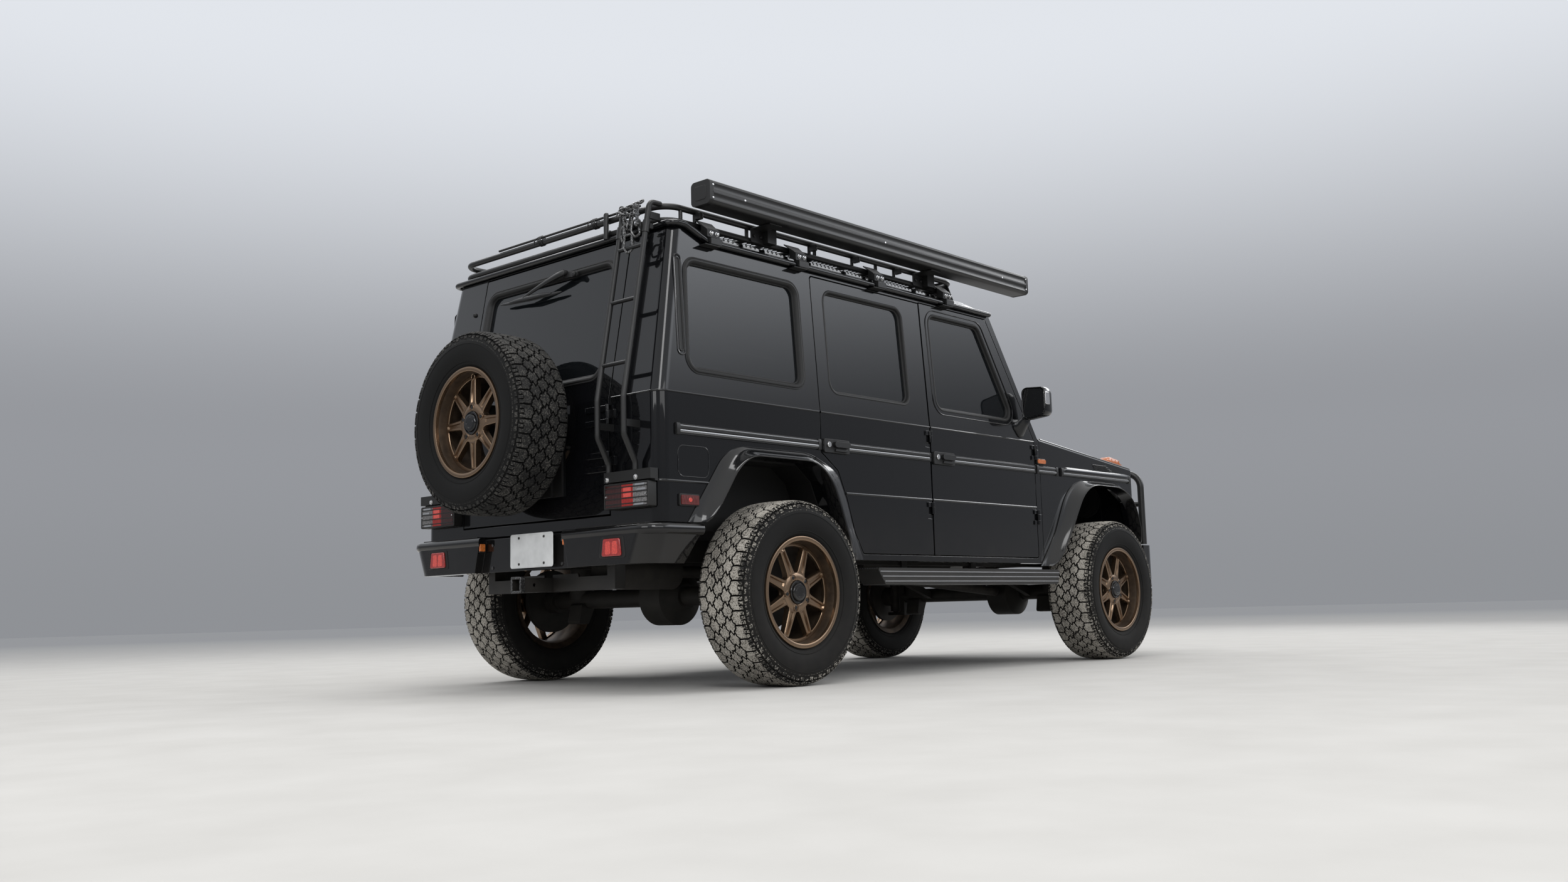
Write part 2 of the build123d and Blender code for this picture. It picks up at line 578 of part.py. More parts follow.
# Chassis frame: two box rails, cross members, body mounts and spring seats
rail_y = 430.0
rail_half_width = 30.0
rail_low_z = 560.0
rail_high_z = 660.0
frame_back_x = tail_x + 20.0
frame_front_x = nose_x + 40.0
cross_members = [-640.0, 150.0, 700.0, 1250.0, 3300.0]
gearbox_member = 2100.0
gearbox_z = 605.0
gearbox_radius = 76.0
spring_y = 525.0
with BuildPart() as chassis_frame:
    for side in (1, -1):
        rail = sorted((side * (rail_y - rail_half_width), side * (rail_y + rail_half_width)))
        block((frame_back_x, frame_front_x), rail, (rail_low_z, rail_high_z))
        for station in (-560.0, 620.0, 1400.0, 2050.0):
            rod((rear_axle_x + station, side * rail_y, rail_high_z - 1.0),
                (rear_axle_x + station, side * rail_y, floor_z - seat_gap), 28.0)
        for axle_x in (rear_axle_x, front_axle_x):
            block((axle_x - 60.0, axle_x + 60.0), sorted((side * rail_y, side * (spring_y + 65.0))),
                  (rail_high_z - 25.0, rail_high_z))
    for station in cross_members:
        block((rear_axle_x + station - 30.0, rear_axle_x + station + 30.0), (-rail_y, rail_y),
              (rail_low_z + 20.0, rail_high_z - 20.0))
    x = rear_axle_x + gearbox_member
    member_top = gearbox_z - gearbox_radius - seat_gap
    block((x - 30.0, x + 30.0), (-rail_y, rail_y), (member_top - 16.0, member_top))
    for side in (1, -1):
        block((x - 30.0, x + 30.0), sorted((side * (rail_y - 28.0), side * rail_y)),
              (member_top - 1.0, rail_low_z + 1.0))
    # Mounts of the engine bay's side walls
    for side in (1, -1):
        for station in (2500.0, 3180.0):
            rod((rear_axle_x + station, side * (inner_fender_y - 12.0), rail_high_z - 30.0),
                (rear_axle_x + station, side * (inner_fender_y - 12.0), 720.0 - seat_gap), 12.0)
save(chassis_frame, "chassis_frame")

# Axles: beams with a differential, spring seats, hubs and brake discs
tube_radius = 45.0
hub_face_y = 905.0
rear_diff_y = -130.0
front_diff_y = -200.0
disc_radius = 160.0


def axle_beam(axle_x, half_length, diff_y):
    rod((axle_x, -half_length, hub_z), (axle_x, half_length, hub_z), tube_radius)
    turned([(-120.0, 0.0), (-120.0, 60.0), (-70.0, 135.0), (70.0, 135.0), (120.0, 60.0), (120.0, 0.0)],
           (axle_x, diff_y, hub_z), (0, 1, 0))
    for side in (1, -1):
        rod((axle_x, side * spring_y, hub_z), (axle_x, side * spring_y, hub_z + 62.0), 62.0)
        side_profile([(axle_x + 30.0, hub_z - 20.0), (axle_x - 60.0, hub_z - 20.0),
                      (axle_x - 78.0, hub_z - 118.0), (axle_x - 18.0, hub_z - 122.0)],
                     (side * (spring_y - 75.0), side * (spring_y + 20.0)), corner=12.0)


def hub_and_disc(axle_x, side, inner_end):
    rod((axle_x, side * inner_end, hub_z), (axle_x, side * hub_face_y, hub_z), 62.0)
    rod((axle_x, side * 760.0, hub_z), (axle_x, side * 784.0, hub_z), disc_radius)


with BuildPart() as rear_axle:
    axle_beam(rear_axle_x, 700.0, rear_diff_y)
    for side in (1, -1):
        hub_and_disc(rear_axle_x, side, 690.0)
save(rear_axle, "rear_axle")
knuckle_gap = 6.0
fork_half_height = 85.0
with BuildPart() as front_axle:
    axle_beam(front_axle_x, 600.0, front_diff_y)
    for side in (1, -1):
        block((front_axle_x - 40.0, front_axle_x + 40.0), sorted((side * 590.0, side * 625.0)),
              (hub_z - 125.0, hub_z + 125.0))
        for low, high in ((hub_z - 125.0, hub_z - 105.0), (hub_z + 105.0, hub_z + 125.0)):
            block((front_axle_x - 40.0, front_axle_x + 40.0),
                  sorted((side * 600.0, side * (kingpin_y + 35.0))), (low, high))
save(front_axle, "front_axle")
for name, side in (("knuckle_left", 1), ("knuckle_right", -1)):
    with BuildPart() as knuckle:
        rod((front_axle_x, side * kingpin_y, hub_z - 105.0 + knuckle_gap),
            (front_axle_x, side * kingpin_y, hub_z + 105.0 - knuckle_gap), 34.0)
        rod((front_axle_x, side * kingpin_y, hub_z - 105.0 + seat_gap),
            (front_axle_x, side * kingpin_y, hub_z + 105.0 - seat_gap), 18.0)
        hub_and_disc(front_axle_x, side, kingpin_y)
    save(knuckle, name)

# Springs, dampers and arms
coil_radius = 58.0
arm_pivot_z = rail_low_z + 40.0
with BuildPart() as suspension:
    for axle_x, reach in ((rear_axle_x, 560.0), (front_axle_x, -610.0)):
        for side in (1, -1):
            rod((axle_x, side * spring_y, hub_z + 62.0 + seat_gap),
                (axle_x, side * spring_y, rail_high_z - 25.0 - seat_gap), coil_radius)
            arm_start = axle_x + math.copysign(tube_radius + seat_gap, reach)
            side_profile([(arm_start, hub_z - 22.0), (arm_start, hub_z + 22.0),
                          (axle_x + reach, arm_pivot_z + 22.0), (axle_x + reach, arm_pivot_z - 22.0)],
                         (side * 358.0, side * 392.0))
            rod((axle_x + reach, side * 358.0, arm_pivot_z),
                (axle_x + reach, side * (rail_y - rail_half_width - seat_gap), arm_pivot_z), 30.0)
save(suspension, "suspension")

# Power train: engine, gearbox, transfer case and propeller shafts
diff_reach = 144.0
shaft_z = 514.0
with BuildPart() as power_train:
    block((rear_axle_x + 2420.0, rear_axle_x + 3020.0), (-230.0, 230.0), (580.0, 1000.0))
    for side in (1, -1):
        block((rear_axle_x + 2690.0, rear_axle_x + 2750.0),
              sorted((side * 229.0, side * (rail_y - rail_half_width - seat_gap))), (590.0, 640.0))
    rod((rear_axle_x + 2425.0, 0.0, gearbox_z), (rear_axle_x + 1440.0, 0.0, gearbox_z), gearbox_radius)
    block((rear_axle_x + 1330.0, rear_axle_x + 1500.0), (-260.0, 140.0), (480.0, 590.0))
    rod((rear_axle_x + 1340.0, 0.0, shaft_z), (rear_axle_x + diff_reach, rear_diff_y, hub_z + 10.0), 32.0)
    rod((rear_axle_x + 1490.0, front_diff_y, shaft_z),
        (front_axle_x - diff_reach, front_diff_y, hub_z + 10.0), 28.0)
save(power_train, "power_train")

# Exhaust with two silencers hung from the floor, and the fuel tank against it
exhaust_y = -300.0
exhaust_z = 520.0
with BuildPart() as exhaust:
    rod((rear_axle_x + 760.0, exhaust_y, exhaust_z), (rear_axle_x + 1190.0, exhaust_y, exhaust_z), 58.0)
    rod((rear_axle_x + 765.0, exhaust_y, exhaust_z), (rear_axle_x - 150.0, exhaust_y, exhaust_z), 28.0)
    rod((rear_axle_x - 145.0, exhaust_y, exhaust_z), (rear_axle_x - 560.0, exhaust_y, exhaust_z), 80.0)
    for station in (950.0, -350.0):
        rod((rear_axle_x + station, exhaust_y, exhaust_z),
            (rear_axle_x + station, exhaust_y, floor_z - seat_gap), 6.0)
save(exhaust, "exhaust")
with BuildPart() as fuel_tank:
    block((rear_axle_x + 220.0, rear_axle_x + 630.0), (60.0, 350.0), (490.0, floor_z - seat_gap))
save(fuel_tank, "fuel_tank")

# Wheels: a tyre with shoulder lugs and an eight-spoke rim, each made about Z and then placed
half_width = tyre_width / 2
spoke_count = 8
lug_nut_count = 5
lug_nut_circle = 62.5
rim_face = 107.0        # tyre's middle plane out to the rim's hub face
lug_count = 44
lug_depth = 11.0
lug_gap = 9.0
lug_length = 34.0


def turned_about_z(points, mode=Mode.ADD):
    """A profile of (radial, axial) points turned about Z."""
    with BuildSketch(Plane.XZ) as profile:
        with BuildLine():
            Polyline(*points, close=True)
        make_face()
    revolve(profile.sketch, axis=Axis.Z, mode=mode)


with BuildPart() as tyre_form:
    side_points = [(rim_radius - 20.0, 117.5), (rim_radius + 4.0, 117.5), (rim_radius + 12.0, 130.0),
                   (290.0, 141.0), (320.0, half_width), (358.0, 142.0), (tyre_radius - 12.0, 128.0),
                   (tyre_radius, 95.0)]
    turned_about_z(side_points + [(r, -z) for r, z in reversed(side_points)])
    # Gaps between the shoulder lugs, half a pitch apart on the two sides
    for side, start_angle in ((1, 0.0), (-1, 180.0 / lug_count)):
        with PolarLocations(tyre_radius, lug_count, start_angle=start_angle):
            with Locations((-lug_depth / 2 + 2.0, 0.0, side * (half_width - lug_length / 2 + 4.0))):
                Box(lug_depth + 4.0, lug_gap, lug_length + 8.0, mode=Mode.SUBTRACT)

with BuildPart() as rim_form:
    seat = rim_radius - 20.0 - seat_gap
    turned_about_z([(seat - 14.0, -126.0), (rim_radius - 2.0, -126.0), (rim_radius - 2.0, -118.5),
                    (seat, -118.5), (seat, 118.5), (rim_radius - 2.0, 118.5), (rim_radius - 2.0, 126.0),
                    (seat - 2.0, 128.0), (seat - 8.0, 112.0), (seat - 12.0, 60.0), (seat - 22.0, 40.0),
                    (seat - 22.0, -60.0)])
    pad = hub_face_y + seat_gap - wheel_y
    turned_about_z([(0.0, pad), (84.0, pad), (87.0, 76.0), (78.0, 88.0), (48.0, 93.0), (44.0, 97.0),
                    (34.0, 97.0), (32.0, rim_face - 3.0), (28.0, rim_face), (0.0, rim_face)])
    with BuildSketch(Plane.XY.offset(54.0)) as spokes:
        with PolarLocations(0.0, spoke_count):
            Polygon((64.0, -30.0), (96.0, -19.5), (seat - 12.0, -14.0), (seat - 12.0, 14.0), (96.0, 19.5),
                    (64.0, 30.0), align=None)
    extrude(spokes.sketch, amount=29.0)
    with BuildSketch(Plane.XY.offset(84.0)) as grooves:
        with PolarLocations(0.0, spoke_count):
            with Locations((150.0, 0.0)):
                SlotOverall(96.0, 9.0)
    extrude(grooves.sketch, amount=-8.0, mode=Mode.SUBTRACT)
    with BuildSketch(Plane.XY.offset(100.0)) as nut_holes:
        with PolarLocations(lug_nut_circle, lug_nut_count):
            Circle(11.0)
    extrude(nut_holes.sketch, amount=-22.0, mode=Mode.SUBTRACT)


def save_wheel(suffix, centre, outward):
    """Write the tyre and rim with their axis on a wheel's centre."""
    place = Plane(origin=centre, x_dir=(0, 0, 1), z_dir=outward)
    for form, name in ((tyre_form, "tyre"), (rim_form, "rim")):
        with BuildPart() as placed:
            add(place.location * form.part)
        save(placed, f"{name}_{suffix}")


wheels = [
    # suffix, axle x, side
    ("front_left", front_axle_x, 1),
    ("front_right", front_axle_x, -1),
    ("rear_left", rear_axle_x, 1),
    ("rear_right", rear_axle_x, -1),
]
for suffix, axle_x, side in wheels:
    save_wheel(suffix, (axle_x, side * wheel_y, hub_z), (0, side, 0))

# Spare wheel and its carrier on the rear door
spare_y = 40.0
spare_z = 1183.0
spare_x = rear_axle_x - tail_reach + half_width
save_wheel("spare", (spare_x, spare_y, spare_z), (-1, 0, 0))
with BuildPart() as spare_carrier:
    block((spare_x + wheel_y - hub_face_y, tail_x - seat_gap), (spare_y - 75.0, spare_y + 75.0),
          (spare_z - 75.0, spare_z + 75.0))
    block((tail_x - 12.0, tail_x - seat_gap), (spare_y - 260.0, spare_y + 260.0),
          (spare_z - 330.0, spare_z - 30.0))
    for y in (spare_y - 170.0, spare_y + 170.0):
        block((tail_x - 24.0, tail_x - seat_gap), (y - 30.0, y + 30.0), (spare_z - 330.0, spare_z + 60.0))
save(spare_carrier, "spare_carrier")

# Fender flares: each slopes out from its outline on the body to a narrower outline at the lip
flare_y = 920.0
flare_slope_share = 0.62     # of the way from the outer outline to the arch
flare_bend = 58.0
rear_flare_outer = [(-560.0, 706.0), (-345.0, 1000.0), (-245.0, 1050.0), (225.0, 1052.0), (425.0, 968.0),
                    (538.0, 689.0), (600.0, 562.0)]
rear_flare_inner = [(-478.0, 706.0), (-310.0, 948.0), (-225.0, 1000.0), (195.0, 1000.0), (298.0, 925.0),
                    (357.0, 797.0), (448.0, 562.0)]
front_flare_outer = [(-645.0, 545.0), (-470.0, 739.0), (-330.0, 985.0), (-170.0, 1062.0), (300.0, 1066.0),
                     (440.0, 985.0), (560.0, 690.0)]
front_flare_inner = [(-560.0, 545.0), (-408.0, 735.0), (-242.0, 963.0), (-123.0, 1028.0), (222.0, 1026.0),
                     (374.0, 951.0), (468.0, 690.0)]


def flare_face(axle_x, y, outer, inner):
    """The flare's outline in side view at one distance from the centre line."""
    with BuildSketch(Plane.XZ.offset(-y)) as face:
        with BuildLine():
            edge = FilletPolyline(*arch_at(outer, axle_x), radius=flare_bend)
            arch = FilletPolyline(*arch_at(inner, axle_x), radius=flare_bend)
            Line(edge @ 0, arch @ 0)
            Line(edge @ 1, arch @ 1)
        make_face()
    return face.sketch


def toward(outer, inner, share):
    return [(a[0] + (b[0] - a[0]) * share, a[1] + (b[1] - a[1]) * share) for a, b in zip(outer, inner)]


with BuildPart() as fender_flares:
    for side in (1, -1):
        for axle_x, outer, inner in ((rear_axle_x, rear_flare_outer, rear_flare_inner),
                                     (front_axle_x, front_flare_outer, front_flare_inner)):
            loft(sections=[flare_face(axle_x, side * (body_y + seat_gap), outer, inner),
                           flare_face(axle_x, side * flare_y, toward(outer, inner, flare_slope_share), inner)],
                 ruled=True)
save(fender_flares, "fender_flares")

# Running boards with angled ends, on brackets from the rails
board_back_x = rear_axle_x + 600.0
board_front_x = rear_axle_x + 2262.0
board_low_z = 442.0
board_high_z = 520.0
board_y = 930.0
with BuildPart() as running_boards:
    for side in (1, -1):
        side_profile([(board_back_x + 60.0, board_low_z), (board_front_x - 20.0, board_low_z),
                      (board_front_x, board_high_z), (board_back_x, board_high_z)],
                     (side * 790.0, side * board_y), corner=9.0)
        for station in (760.0, 1420.0, 2080.0):
            block((rear_axle_x + station - 25.0, rear_axle_x + station + 25.0),
                  sorted((side * (rail_y + rail_half_width + seat_gap), side * 791.0)), (455.0, 490.0))
            block((rear_axle_x + station - 25.0, rear_axle_x + station + 25.0),
                  sorted((side * (rail_y + rail_half_width + seat_gap),
                          side * (rail_y + rail_half_width + 12.0))), (455.0, 620.0))
save(running_boards, "running_boards")

# Rear bumper in two wrapped sections that taper downwards, with a recessed middle for the plate
bumper_back_x = rear_axle_x - 788.0
bumper_end_x = rear_axle_x - 492.0
bumper_low_z = 535.0
bumper_high_z = 688.0
bumper_half_width = 875.0
bumper_tuck = 62.0           # how far each end draws in at its lower edge
bumper_bend = 95.0
bumper_wall = 110.0
bumper_inner_end = 300.0     # half width of the recess for the plate
bumper_lamp_y = 600.0


def bumper_plan(z, half, end_x):
    with BuildSketch(Plane.XY.offset(z)) as plan:
        with BuildLine():
            Polyline((bumper_back_x, -half), (end_x, -half), (end_x, half), (bumper_back_x, half), close=True)
        make_face()
        fillet(plan.vertices().group_by(Axis.X)[0], radius=bumper_bend)
    return plan.sketch


with BuildPart() as rear_bumper:
    loft(sections=[bumper_plan(bumper_low_z, bumper_half_width - bumper_tuck, bumper_end_x - bumper_tuck),
                   bumper_plan(bumper_high_z, bumper_half_width, bumper_end_x)], ruled=True)
    rim = rear_bumper.faces().sort_by(Axis.Z)[-1].edges()
    fillet(rim.filter_by(lambda edge: edge.center().X < bumper_end_x - 1.0), radius=15.0)
    block((tail_x + 8.0, bumper_end_x + 1.0),
          (-bumper_half_width + bumper_wall, bumper_half_width - bumper_wall),
          (bumper_low_z - 1.0, bumper_high_z + 1.0), Mode.SUBTRACT)
    end_profile([(-bumper_inner_end - 38.0, bumper_low_z - 1.0), (bumper_inner_end + 38.0, bumper_low_z - 1.0),
                 (bumper_inner_end, bumper_high_z + 1.0), (-bumper_inner_end, bumper_high_z + 1.0)],
                (bumper_back_x - 1.0, bumper_back_x + 40.0), mode=Mode.SUBTRACT)
    for side in (1, -1):
        pocket = [(-48.0, 572.0), (48.0, 572.0), (38.0, 642.0), (-38.0, 642.0)]
        end_profile([(side * bumper_lamp_y + y, z) for y, z in pocket],
                    (bumper_back_x - 1.0, bumper_back_x + 28.0), corner=6.0, mode=Mode.SUBTRACT)
        block((tail_x + 7.0, frame_back_x + 40.0), sorted((side * (rail_y - 28.0), side * (rail_y + 28.0))),
              (bumper_low_z, rail_low_z - seat_gap))
save(rear_bumper, "rear_bumper")

# Towing receiver: a square tube on a cross tube under the bumper
receiver_half = 32.0
receiver_bore = 51.0
receiver_z = 470.0
receiver_back_x = rear_axle_x - 805.0
hitch_pin_back = 75.0
hitch_pin_radius = 8.25
with BuildPart() as hitch_receiver:
    block((receiver_back_x, receiver_back_x + 280.0), (-receiver_half, receiver_half),
          (receiver_z - receiver_half, receiver_z + receiver_half))
    block((receiver_back_x + 180.0, receiver_back_x + 240.0), (-rail_y, rail_y),
          (receiver_z - 30.0, receiver_z + 30.0))
    for side in (1, -1):
        block((receiver_back_x + 180.0, receiver_back_x + 240.0),
              sorted((side * (rail_y - 25.0), side * (rail_y + 25.0))),
              (receiver_z - 30.0, rail_low_z - seat_gap))
        end_profile([(side * 31.0, receiver_z + 45.0), (side * 31.0, receiver_z - 30.0),
                     (side * 235.0, receiver_z - 30.0), (side * 205.0, receiver_z + 45.0)],
                    (receiver_back_x + 180.0, receiver_back_x + 190.0))
    block((receiver_back_x - 1.0, receiver_back_x + 260.0), (-receiver_bore / 2, receiver_bore / 2),
          (receiver_z - receiver_bore / 2, receiver_z + receiver_bore / 2), Mode.SUBTRACT)
    rod((receiver_back_x + hitch_pin_back, -receiver_half - 1.0, receiver_z),
        (receiver_back_x + hitch_pin_back, receiver_half + 1.0, receiver_z), hitch_pin_radius, Mode.SUBTRACT)
save(hitch_receiver, "hitch_receiver")

# Tail lamps with a bracket plate over each
lamp_inner_y = 545.0
lamp_outer_y = 822.0
lamp_low_z = 768.0
lamp_high_z = 873.0
lamp_back_x = tail_x - 42.0
lamp_bands = 3
lamp_rim = 8.0
with BuildPart() as tail_lamps:
    band_pitch = (lamp_high_z - lamp_low_z - lamp_rim) / lamp_bands
    for side in (1, -1):
        block((lamp_back_x, tail_x - seat_gap), sorted((side * lamp_inner_y, side * lamp_outer_y)),
              (lamp_low_z, lamp_high_z))
        for band in range(lamp_bands):
            low = lamp_low_z + lamp_rim + band * band_pitch
            block((lamp_back_x - 1.0, lamp_back_x + 5.0),
                  sorted((side * (lamp_inner_y + lamp_rim), side * (lamp_outer_y - lamp_rim))),
                  (low, low + band_pitch - lamp_rim), Mode.SUBTRACT)
save(tail_lamps, "tail_lamps")
plate_low_z = 881.0
plate_high_z = 925.0
with BuildPart() as lamp_brackets:
    for side in (1, -1):
        span = sorted((side * 541.0, side * 832.0))
        block((lamp_back_x, tail_x - seat_gap), span, (plate_low_z, plate_high_z))
        # Mount behind each plate for the lamp below it
        block((tail_x - 16.0, tail_x - seat_gap), span, (lamp_high_z + seat_gap, plate_low_z + 1.0))
save(lamp_brackets, "lamp_brackets")

# Front bumper and brush guard
front_bumper_low_z = 470.0
front_bumper_high_z = 686.0
front_bumper_x = rear_axle_x + 3530.0
front_bumper_end_x = front_axle_x + 535.0
with BuildPart() as front_bumper:
    with BuildSketch(Plane.XY.offset(front_bumper_low_z)) as wrap:
        with BuildLine():
            Polyline((front_bumper_x, -bumper_half_width), (front_bumper_end_x, -bumper_half_width),
                     (front_bumper_end_x, bumper_half_width), (front_bumper_x, bumper_half_width), close=True)
        make_face()
        fillet(wrap.vertices().group_by(Axis.X)[-1], radius=80.0)
    extrude(wrap.sketch, amount=front_bumper_high_z - front_bumper_low_z)
    block((front_bumper_end_x - 1.0, front_bumper_x - 60.0),
          (-bumper_half_width + 50.0, bumper_half_width - 50.0),
          (front_bumper_low_z - 1.0, front_bumper_high_z + 1.0), Mode.SUBTRACT)
    # Opening for a winch
    block((front_bumper_x - 61.0, front_bumper_x + 1.0), (-300.0, 300.0),
          (front_bumper_low_z + 30.0, front_bumper_high_z - 90.0), Mode.SUBTRACT)
    for side in (1, -1):
        block((frame_front_x + seat_gap, front_bumper_x - 59.0),
              sorted((side * (rail_y - 30.0), side * (rail_y + 30.0))), (rail_low_z, rail_high_z))
save(front_bumper, "front_bumper")

guard_radius = 21.0
guard_x = rear_axle_x + nose_reach - guard_radius
guard_y = 780.0
guard_top_z = 1160.0
with BuildPart() as brush_guard:
    bent_tube([(guard_x, -guard_y, 700.0), (guard_x, -guard_y, guard_top_z), (guard_x, guard_y, guard_top_z),
               (guard_x, guard_y, 700.0)], guard_radius, 90.0)
    for z in (760.0, 960.0):
        rod((guard_x, -guard_y, z), (guard_x, guard_y, z), guard_radius * 0.8)
    for y in (-400.0, 400.0):
        rod((guard_x, y, front_bumper_high_z - 60.0), (guard_x, y, guard_top_z), guard_radius)
        block((front_bumper_x + seat_gap, guard_x - 4.0), (y - 12.0, y + 12.0),
              (front_bumper_high_z - 56.0, front_bumper_high_z - 6.0))
save(brush_guard, "brush_guard")

# Roof rack: twin side rails, cross tubes, floor slats, gutter feet and front deflector
rack_back_x = rear_axle_x - 575.0
rack_front_x = rear_axle_x + 1600.0
rack_y = 745.0
rack_low_z = 2032.0
rack_top_z = 2095.0
rack_tube = 14.0
with BuildPart() as roof_rack:
    for z, radius in ((rack_low_z, rack_tube), (rack_top_z, rack_tube)):
        bent_tube([(0.0, -rack_y, z), (rack_front_x, -rack_y, z), (rack_front_x, rack_y, z), (0.0, rack_y, z)],
                  radius, 90.0)
        bent_tube([(0.0, rack_y, z), (rack_back_x, rack_y, z), (rack_back_x, -rack_y, z), (0.0, -rack_y, z)],
                  radius, 90.0)
    for station in (-480.0, -60.0, 420.0, 900.0, 1400.0):
        for side in (1, -1):
            rod((rear_axle_x + station, side * rack_y, rack_low_z),
                (rear_axle_x + station, side * rack_y, rack_top_z), 9.0)
        rod((rear_axle_x + station, -rack_y, rack_low_z), (rear_axle_x + station, rack_y, rack_low_z), 11.0)
    feet = (-336.0, 250.0, 849.0, 1442.0)
    for station in feet:
        x = rear_axle_x + station
        for side in (1, -1):
            end_profile([(side * (gutter_half_width + rail_width - 10.0), gutter_z + rail_height + seat_gap),
                         (side * (gutter_half_width + rail_width), gutter_z + rail_height + seat_gap),
                         (side * (rack_y + 10.0), rack_low_z), (side * (rack_y - 4.0), rack_low_z)],
                        (x - 28.0, x + 28.0))
        rod((x, -rack_y, rack_low_z), (x, rack_y, rack_low_z), 11.0)
    # Wind deflector leaning forward from the front tubes
    side_profile([(rack_front_x - 6.0, rack_top_z + 26.0), (rack_front_x + 1.0, rack_top_z + 26.0),
                  (rack_front_x + 66.0, roof_z + 9.0), (rack_front_x + 59.0, roof_z + 9.0)],
                 (-rack_y + 50.0, rack_y - 50.0))
save(roof_rack, "roof_rack")

# Awning case on two brackets along the right side of the rack
awning_back_x = rear_axle_x - 470.0
awning_length = 2560.0
awning_low_z = 2085.0
awning_height = 110.0
awning_y = 860.0
awning_depth = 118.0
awning_cap = 26.0
with BuildPart() as awning_case:
    block((awning_back_x, awning_back_x + awning_length),
          (-awning_y - awning_depth / 2, -awning_y + awning_depth / 2),
          (awning_low_z, awning_low_z + awning_height))
    fillet(awning_case.edges().filter_by(Axis.X), radius=22.0)
    # Two hollow flutes along each side, between the end caps
    for side in (1, -1):
        for z in (awning_low_z + 32.0, awning_low_z + 76.0):
            rod((awning_back_x + awning_cap, -awning_y + side * (awning_depth / 2 + 36.0), z),
                (awning_back_x + awning_length - awning_cap, -awning_y + side * (awning_depth / 2 + 36.0), z),
                40.0, Mode.SUBTRACT)
    for station in (50.0, 1300.0):
        x = rear_axle_x + station
        block((x - 30.0, x + 30.0), (-awning_y + awning_depth / 2 - 2.0, -rack_y - rack_tube - seat_gap),
              (rack_low_z - 10.0, awning_low_z + 70.0))
save(awning_case, "awning_case")

# Ladder on the right of the rear door, hooked over the rack and standing on the lamp bracket
ladder_radius = 12.5
ladder_rails = (-557.0, -724.0)
with BuildPart() as ladder:
    for y in ladder_rails:
        bent_tube([(lamp_back_x + 14.0, y, plate_high_z + seat_gap), (lamp_back_x + 14.0, y, 960.0),
                   (rear_axle_x - 803.0, y, 1070.0), (rear_axle_x - 803.0, y, 1228.0),
                   (rear_axle_x - 652.0, y, 2052.0)], ladder_radius, 34.0)
    for z in (1380.0, 1660.0, 1900.0):
        x = rear_axle_x - 803.0 + (z - 1228.0) * 151.0 / 824.0
        rod((x, ladder_rails[1], z), (x, ladder_rails[0], z), 9.0)
    for y in ladder_rails:
        block((rear_axle_x - 800.0, tail_x - seat_gap), (y - 4.0, y + 4.0), (1105.0, 1135.0))
        block((rear_axle_x - 660.0, rack_back_x - rack_tube - seat_gap), (y - 8.0, y + 8.0), (2020.0, 2050.0))
save(ladder, "ladder")

# Inside: dashboard, steering wheel and seats
wheel_centre = (cowl_x - 400.0, 370.0, 1190.0)
column_dir = Vector(-0.9, 0.0, 0.44).normalized()
with BuildPart() as dashboard:
    side_profile([(cowl_x - wall - seat_gap, 960.0), (cowl_x - wall - seat_gap, 1215.0),
                  (cowl_x - 250.0, 1215.0),
                  (cowl_x - 330.0, 1150.0), (cowl_x - 290.0, 960.0)], (-690.0, 690.0))
    block((cowl_x - 900.0, cowl_x - 289.0), (-110.0, 110.0), (floor_z + floor_thickness + seat_gap, 980.0))
    rod(tuple(Vector(*wheel_centre) - column_dir * seat_gap),
        tuple(Vector(*wheel_centre) - column_dir * 150.0), 26.0)
save(dashboard, "dashboard")

with BuildPart() as steering_wheel:
    with BuildSketch(Plane(origin=wheel_centre, x_dir=(0, 1, 0), z_dir=column_dir)) as wheel_ring:
        Circle(190.0)
        Circle(163.0, mode=Mode.SUBTRACT)
        Rectangle(340.0, 34.0)
        Circle(60.0)
    extrude(wheel_ring.sketch, amount=26.0)
save(steering_wheel, "steering_wheel")

seat_rows = [
    # middle x, middle y, half width
    (cowl_x - 780.0, 370.0, 250.0),
    (cowl_x - 780.0, -370.0, 250.0),
    (cowl_x - 1640.0, 0.0, 620.0),
]
with BuildPart() as seats:
    for x, y, half in seat_rows:
        top = floor_z + floor_thickness
        block((x - 250.0, x + 240.0), (y - half, y + half), (top + 190.0, top + 300.0))
        side_profile([(x - 260.0, top + 200.0), (x - 150.0, top + 200.0), (x - 250.0, top + 860.0),
                      (x - 350.0, top + 860.0)], (y - half, y + half))
        side_profile([(x - 325.0, top + 880.0), (x - 255.0, top + 880.0), (x - 275.0, top + 1040.0),
                      (x - 345.0, top + 1040.0)], (y - 120.0, y + 120.0))
        block((x - 320.0, x - 270.0), (y - 60.0, y + 60.0), (top + 850.0, top + 890.0))
        block((x - 200.0, x + 200.0), (y - half + 40.0, y + half - 40.0), (top + seat_gap, top + 195.0))
save(seats, "seats")
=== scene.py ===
# %% [markdown]
# # A lifted off-road 4x4 in gloss black
#
# The CAD model gives this vehicle its shape, its sizes and its joints. This lesson dresses it: paint,
# glass, rubber and dust, and the many small pieces that a maker bolts on afterwards. Every number is
# in metres, in the CAD model's own frame: X forward, Y to the vehicle's left, Z up.

# %% Load the frame
import json
import math
import random

import bmesh
import bpy
from mathutils import Matrix, Vector


